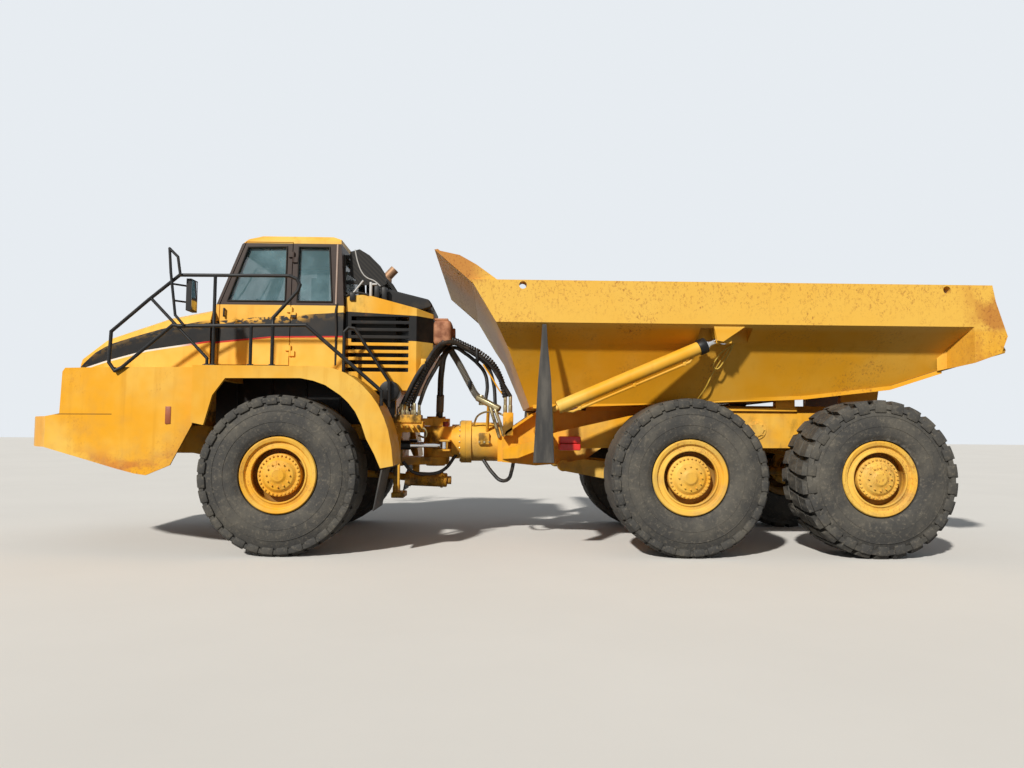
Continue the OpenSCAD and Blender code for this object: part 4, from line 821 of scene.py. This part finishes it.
# The fittings on the frame's neck.
# A welded post and boss with the screwed ends that the hoses go to, and a pipe that joins them.
settle("neck_bosses", "rear_frame", hitch_paint,
       block((2.31, -0.57, 1.24), (2.43, -0.44, 1.51), 0.01),
       block((2.02, -0.275, 1.13), (2.15, -0.20, 1.27), 0.008),
       round_bar((2.12, -0.18, 1.27), (2.14, -0.42, 1.61), 0.02, 16))
ends = [fitting(x, y, 1.50, 1.71, 0.027) for x, y in ((2.335, -0.50), (2.395, -0.53))]
ends += [round_bar((x, -0.29, 1.16), (x, -0.27, 1.16), 0.012, 6) for x in (2.03, 2.09, 2.15)]
settle("neck_fittings", "rear_frame", zinc, *ends,
       tube([(1.95, -0.14, 1.35), (2.03, -0.30, 1.49), (2.20, -0.40, 1.52), (2.34, -0.44, 1.47)],
            0.012))
settle("hose_manifold", "rear_frame", zinc,
       round_bar((2.00, -0.36, 1.69), (2.27, -0.47, 1.55), 0.042, 6, 0.004),
       round_bar((2.05, -0.36, 1.60), (2.05, -0.36, 1.72), 0.03, 16, 0.004))

# The tail lamps, the wheel chocks and the beams' pin bolts.
# Red lenses in black boxes on the frame's tail, red chocks stowed on its sides, and a ring of eight
# bolts on each beam's pin.
tail_x, tail_z = 6.66, 1.04
boxes, lenses = [], []
for y in (-0.47, 0.47):
    boxes.append(block((tail_x - 0.03, y - 0.09, tail_z - 0.05),
                       (tail_x + 0.03, y + 0.09, tail_z + 0.09)))
    lenses.append(block((tail_x + 0.028, y - 0.08, tail_z - 0.04),
                        (tail_x + 0.042, y + 0.08, tail_z + 0.04), 0.005, 3))
settle("tail_lamp_boxes", "rear_frame", black_paint, *boxes)
red_paint = Finish("red_paint", "red_paint", {"Coat Weight": 0.2})
dirt = red_paint.spots(9, 5, band=(0.5, 0.75))
red_paint.tint(dirt * 0.5, (226, 44, 38), (120, 50, 34))
red_paint.feed("Roughness", 0.4 + dirt * 0.4)
finished("wheel_chocks", "rear_frame", red_paint, width=0.012, segments=3)
settle("tail_lamps", "rear_frame", red_paint, *lenses)
pin_x, pin_z, bolt_circle = 5.19, 1.33, 0.078
bolts = []
for side in (-1, 1):
    bolt = round_bar((pin_x + bolt_circle, side * 0.872, pin_z),
                     (pin_x + bolt_circle, side * 0.886, pin_z), 0.011, 6, 0.002)
    bolts.append(ring_of(bolt, 8, (pin_x, 0, pin_z)))
settle("beam_pin_bolts", "rear_frame", rear_paint, *bolts)

# The hoses across the pivot.
# A bundle arches from the valve bank to the frame's neck. Each hose is made in two halves, which
# meet at a clamp that turns with the hitch.


def ribbed(points, radius, pitch):
    """A hose in a spiral sleeve: one rib repeated along the line through its points."""
    line = line_through(points)
    bpy.ops.mesh.primitive_torus_add(
        major_segments=16, minor_segments=6, major_radius=radius - pitch / 2,
        minor_radius=pitch / 2, rotation=(0, math.pi / 2, 0))
    bpy.ops.object.transform_apply()
    rib = bpy.context.object
    shaped(rib, "ARRAY", fit_type="FIT_CURVE", curve=line, use_relative_offset=False,
           use_constant_offset=True, constant_offset_displace=(pitch, 0, 0))
    shaped(rib, "CURVE", object=line)
    bpy.data.objects.remove(line)
    return rib


hose_rubber = Finish("hose_rubber", "flap_rubber", {"Specular IOR Level": 0.4})
dusted = hose_rubber.spots(5, 5, band=(0.45, 0.75))
hose_rubber.tint(dusted * 0.7, (26, 25, 25), (96, 84, 70))
hose_rubber.feed("Roughness", 0.4 + dusted * 0.4)
grey_sleeve = mottled("grey_sleeve", "flap_rubber", (84, 82, 76), (128, 122, 110), (6, 5),
                      (0.55, 0.25, 30))
# Radius, rib pitch or 0 for a smooth hose, the finish, the way's points, and which is at the clamp
HOSES = {
    "outer": (0.038, 0.032, hose_rubber, [
        (1.21, -0.76, 1.59), (1.287, -0.78, 1.755), (1.363, -0.77, 1.916), (1.468, -0.72, 2.115),
        (1.572, -0.63, 2.28), (1.681, -0.55, 2.356), (1.844, -0.50, 2.305), (2.01, -0.47, 2.227),
        (2.16, -0.46, 2.112), (2.265, -0.47, 1.946), (2.335, -0.50, 1.70)], 7),
    "second": (0.022, 0, hose_rubber, [
        (1.265, -0.70, 1.59), (1.36, -0.73, 1.823), (1.482, -0.70, 2.069), (1.603, -0.60, 2.242),
        (1.711, -0.50, 2.321), (1.842, -0.45, 2.269), (1.995, -0.42, 2.18),
        (2.12, -0.41, 2.06), (2.19, -0.42, 1.88), (2.22, -0.45, 1.58)], 6),
    "third": (0.022, 0, hose_rubber, [
        (1.341, -0.66, 1.59), (1.42, -0.69, 1.81), (1.528, -0.64, 2.025), (1.618, -0.56, 2.197),
        (1.726, -0.46, 2.275), (1.86, -0.40, 2.21), (1.98, -0.38, 2.12),
        (2.08, -0.37, 2.0), (2.12, -0.38, 1.84), (2.10, -0.39, 1.64)], 6),
    "fourth": (0.024, 0, hose_rubber, [
        (1.164, -0.80, 1.59), (1.243, -0.82, 1.752), (1.334, -0.81, 1.93), (1.439, -0.76, 2.095),
        (1.56, -0.69, 2.266), (1.70, -0.62, 2.325), (1.86, -0.56, 2.27), (2.01, -0.53, 2.19),
        (2.16, -0.53, 2.06), (2.27, -0.54, 1.90), (2.395, -0.53, 1.70)], 7),
    "grey": (0.042, 0.016, grey_sleeve, [
        (1.66, -0.44, 2.29), (1.70, -0.42, 2.22), (1.775, -0.38, 2.099), (1.91, -0.33, 1.851),
        (1.98, -0.32, 1.73), (2.05, -0.35, 1.66)], 3),
}
for name, (radius, pitch, rubber, way, clamped) in HOSES.items():
    for half, points in (("front", way[:clamped + 1]), ("rear", way[clamped:])):
        hose = ribbed(points, radius, pitch) if pitch else tube(points, radius)
        hose = settle(f"hose_{name}_{half}", None, rubber)
        if half == "front":
            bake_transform(hose)
        else:
            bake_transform(hose)
tube([(1.13, -0.36, 0.92), (1.246, -0.33, 0.80), (1.43, -0.30, 0.775), (1.60, -0.24, 0.82),
      (1.745, -0.12, 1.0)], 0.02)
low_hose = settle("hose_low", None, hose_rubber)
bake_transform(low_hose)

# The hoses beside the pivot, and the clamps.
# Each runs between two places on one body, screwed on at both ends; black blocks clamp the bundle.
settle("rising_hoses", "tractor", hose_rubber,
       tube([(1.54, -0.08, 1.46), (1.55, -0.20, 1.785), (1.575, -0.38, 2.011), (1.62, -0.47, 2.20),
             (1.70, -0.47, 2.30)], 0.036),
       tube([(1.50, 0.08, 1.46), (1.54, -0.05, 1.80), (1.57, -0.28, 2.05), (1.64, -0.42, 2.27)],
            0.024))
round_bar((1.538, -0.085, 1.52), (1.55, -0.185, 1.72), 0.046, 24, 0.004)
settle("rising_sleeve", "tractor", grey_sleeve)
block((1.40, -0.80, 1.975), (1.43, -0.71, 2.09), 0.01)
settle("tractor_hose_clamps", "tractor", black_paint)
settle("hitch_hose_clamps", "hitch", black_paint,
       block((1.98, -0.56, 2.115), (2.02, -0.345, 2.255), 0.012),
       block((1.89, -0.385, 1.80), (1.93, -0.275, 1.90), 0.01))
BRAIDS = [((2.15, -0.42, 1.62), (2.18, -0.44, 1.51), (2.23, -0.44, 1.35), (2.27, -0.40, 1.22)),
          ((2.21, -0.46, 1.58), (2.24, -0.48, 1.48), (2.29, -0.47, 1.34), (2.32, -0.43, 1.24))]
settle("braided_hoses", "rear_frame", zinc, *[tube(way, 0.021) for way in BRAIDS])
tube([(2.07, -0.50, 2.075), (2.18, -0.50, 1.91), (2.26, -0.50, 1.78), (2.335, -0.50, 1.69)], 0.009)
settle("pilot_pipe", "rear_frame", rear_paint)
tube([(2.08, -0.16, 0.94), (2.20, -0.22, 0.78), (2.30, -0.26, 0.70), (2.38, -0.30, 0.72),
      (2.42, -0.33, 0.82), (2.44, -0.37, 0.93)], 0.022)
settle("slack_hose_under", "rear_frame", hose_rubber)

# The steering cylinders and the hoist cylinders.
# Painted steel barrels with polished rods, pinned at both ends. A pipe is clipped under each
# hoist's barrel, and a black collar closes its end.
rod_chrome = mottled("rod_chrome", "chrome_rod", (196, 198, 200), (222, 222, 222), (5,),
                     (0.12, 0.12, 30), {"Metallic": 1.0})
hoist_paint = yellow_paint("hoist_yellow", rust=0.2, dust=0.2)
# The barrels' direction at rest, and the one square to it underneath
along, below = Vector((0.9184, 0, 0.3956)), Vector((0.3956, 0, -0.9184))
for side in ("left", "right"):
    barrel, rod = f"steering_barrel_{side}", f"steering_rod_{side}"
    finished(barrel, barrel, black_paint, width=0.004)
    finished(rod, rod, rod_chrome, width=0.003)
    for part, finish in (("barrel", hoist_paint), ("stage", rod_chrome), ("rod", rod_chrome)):
        name = f"hoist_{part}_{side}"
        finished(name, name, finish, width=0.004)
    reach = -1 if side == "left" else 1
    foot = Vector((2.748, reach * 1.46, 1.491))
    line = [foot + along * s + below * drop
            for s, drop in ((0.20, 0.06), (0.27, 0.098), (1.62, 0.098), (1.69, 0.05))]
    pipe = [tube([tuple(p) for p in line], 0.017, smooth=False)]
    half = Vector((0.018, 0.022, 0.03))
    for s in (0.35, 0.98, 1.56):
        at = foot + along * s + below * 0.085
        pipe.append(block(at - half, at + half, 0.004))
    settle(f"hoist_pipe_{side}", f"hoist_barrel_{side}", hoist_paint, *pipe)
    round_bar(foot + along * 1.765, foot + along * 1.855, 0.083, 40, 0.006)
    settle(f"hoist_collar_{side}", f"hoist_barrel_{side}", black_paint)

# The load body.
# Welded wear plate on a pivot pin: the rails and the flared tail are speckled with rust where rock
# and the loader's bucket have struck, and the inside is scraped to bare brown steel.
bare_steel, bare_rust = srgb(118, 92, 74), srgb(96, 62, 42)
rail_foot = 2.36


def bed_markings(paint, colour):
    """The inside is bare: the walls' inner faces look to the middle, and the floor looks up."""
    nx, ny, nz = paint.parts(paint.node("ShaderNodeTexCoord", out="Normal"))
    inward = ny * paint.y < -0.15
    inward += (nz > 0.5) * (abs(paint.y) < 1.3) * (paint.z < 2.86)
    inward += (nx > 0.45) * (paint.z < 3.2)
    scraped = paint.spots(4, 5, (0.25, 1, 1), band=(0.4, 0.65))
    rails = paint.step(paint.z, rail_foot, 2.42) * 0.7
    colour = paint.mix(rails, paint.mix(0.5, colour, yellow_fresh), yellow_faded)
    tail = paint.step(paint.x, behind(7.05), behind(7.45)) * paint.spots(2.6, 5, band=(0.42, 0.62))
    wing = paint.step(paint.x, behind(2.2), behind(1.9)) * paint.step(paint.z, 2.78, 2.92)
    wing = wing * paint.step(abs(ny), 0.6, 0.9)
    colour = paint.mix(tail.most(wing) * 0.75, colour, srgb(186, 112, 52))
    return paint.mix(inward.least(1.0), colour, paint.mix(scraped, bare_steel, bare_rust))


def bed_wear(paint):
    """Rust where the load strikes: the rails' top, the tail and the headboard."""
    top = paint.step(paint.z, rail_foot, 2.80) * 0.8
    tail = paint.step(paint.x, behind(6.9), behind(7.5))
    return top.most(tail).most(paint.step(paint.x, behind(2.1), behind(1.8)))


bed_paint = yellow_paint("body_yellow", rust=0.5, dust=0.05, markings=bed_markings, wear=bed_wear)
finished("dump_body", "dump_body", bed_paint, worn_edge("rail_edge", 0.9), 0.01, 3)
finished("body_flaps", "dump_body", sheet_rubber, width=0.003)
rope = mottled("yellow_rope", "flap_rubber", (176, 140, 40), (226, 190, 84), (30,))
# A lashing between the hoist's bracket and the body's lower edge, fast at both ends
settle("lashing", "dump_body", rope,
       tube([(4.80, -1.345, 2.275), (4.72, -1.30, 2.17), (4.60, -1.22, 1.96), (4.53, -1.13, 1.78),
             (4.47, -1.00, 1.655)], 0.008),
       tube([(4.78, -1.335, 2.25), (4.63, -1.32, 2.13), (4.60, -1.27, 1.99), (4.70, -1.30, 2.08),
             (4.79, -1.34, 2.26)], 0.008))

# The wheels.
# Wide radial tyres, dusty and cut about, on stepped steel rims in the truck's yellow, which are
# bolted round the hubs. Every wheel gets copies of the same bolts, rings and lugs' feet.
tyre_rubber = Finish("tyre_rubber", "tyre_rubber", {"Specular IOR Level": 0.35})
cuts = tyre_rubber.noise(30, 5, roughness=0.7)
mud = tyre_rubber.spots(3.2, 6, band=(0.38, 0.72))
tyre_tone = tyre_rubber.mix(mud, srgb(66, 65, 63), srgb(96, 92, 84))
gashes = tyre_rubber.step(cuts, 0.5, 0.72) * 0.55
tyre_rubber.feed("Base Color", tyre_rubber.mix(gashes, tyre_tone, srgb(132, 124, 110)))
tyre_rubber.feed("Roughness", 0.7 + cuts * 0.2)
tyre_rubber.bump(cuts + mud * 0.4, 0.006)


def rim_dish_shade(paint, colour):
    """Painted shade: the floor of the rim's dish is darkened to dark brown."""
    return paint.mix(paint.step(abs(paint.y), 1.50, 1.44) * 0.75, colour, srgb(84, 50, 22))


rim_paint = yellow_paint("rim_yellow", rust=0.6, dust=0.35, markings=rim_dish_shade)
# The hub's bolts: how many, distance from the middle, size, depth behind the wheel's face
HUB_BOLTS = [(12, 0.12, 0.009, 0.02), (30, 0.202, 0.011, 0.056)]
# Rings moulded in the sidewall: distance from the middle, thickness, depth behind the tyre's face
WALL_RINGS = [(0.548, 0.003, 0.000), (0.66, 0.004, 0.009)]
# The lugs' feet on the tyre's shoulder: how many, their width, where they start and end
FRONT_FEET, REAR_FEET = (32, 0.118, 0.728, 0.800), (26, 0.122, 0.690, 0.785)
for axle in ("front", "middle", "rear"):
    for side in ("left", "right"):
        body = f"wheel_{axle}_{side}"
        finished(f"tyre_{axle}_{side}", body, tyre_rubber, width=0.008)
        finished(f"rim_{axle}_{side}", body, rim_paint, width=0.004, sharp=math.radians(28))
        low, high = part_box(f"rim_{axle}_{side}")
        out = -1 if side == "left" else 1
        face = low.y if side == "left" else high.y
        x, z = (low.x + high.x) / 2 - front_axle_x, (low.z + high.z) / 2
        rings = []
        for count, reach, size, depth in HUB_BOLTS:
            at = face - out * depth
            bolt = round_bar((x + reach, at - out * 0.012, z), (x + reach, at + out * 0.014, z),
                             size, 6, 0.002)
            rings.append(ring_of(bolt, count, (x, 0, z)))
        flange = round_bar((x, face - out * 0.16, z), (x, face - out * 0.056, z), 0.222, 64, 0.012)
        settle(f"hub_bolts_{axle}_{side}", body, rim_paint, *rings, flange)
        low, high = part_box(f"tyre_{axle}_{side}")
        wall = low.y if side == "left" else high.y
        rings = []
        for major, minor, depth in WALL_RINGS:
            bpy.ops.mesh.primitive_torus_add(
                major_segments=96, minor_segments=6, major_radius=major, minor_radius=minor,
                location=(behind(x), wall - out * depth, z), rotation=(math.pi / 2, 0, 0))
            rings.append(bpy.context.object)
        count, width, start, end = REAR_FEET if axle == "rear" else FRONT_FEET
        foot = block((x + start, wall - out * 0.06, z - width / 2),
                     (x + end, wall - out * 0.008, z + width / 2), 0.014)
        hub = Matrix.Translation((behind(x), 0, z))
        foot.data.transform(hub @ Matrix.Rotation(math.pi / count, 4, "Y") @ hub.inverted())
        rings.append(ring_of(foot, count, (x, 0, z)))
        settle(f"wall_rings_{axle}_{side}", body, tyre_rubber, *rings)
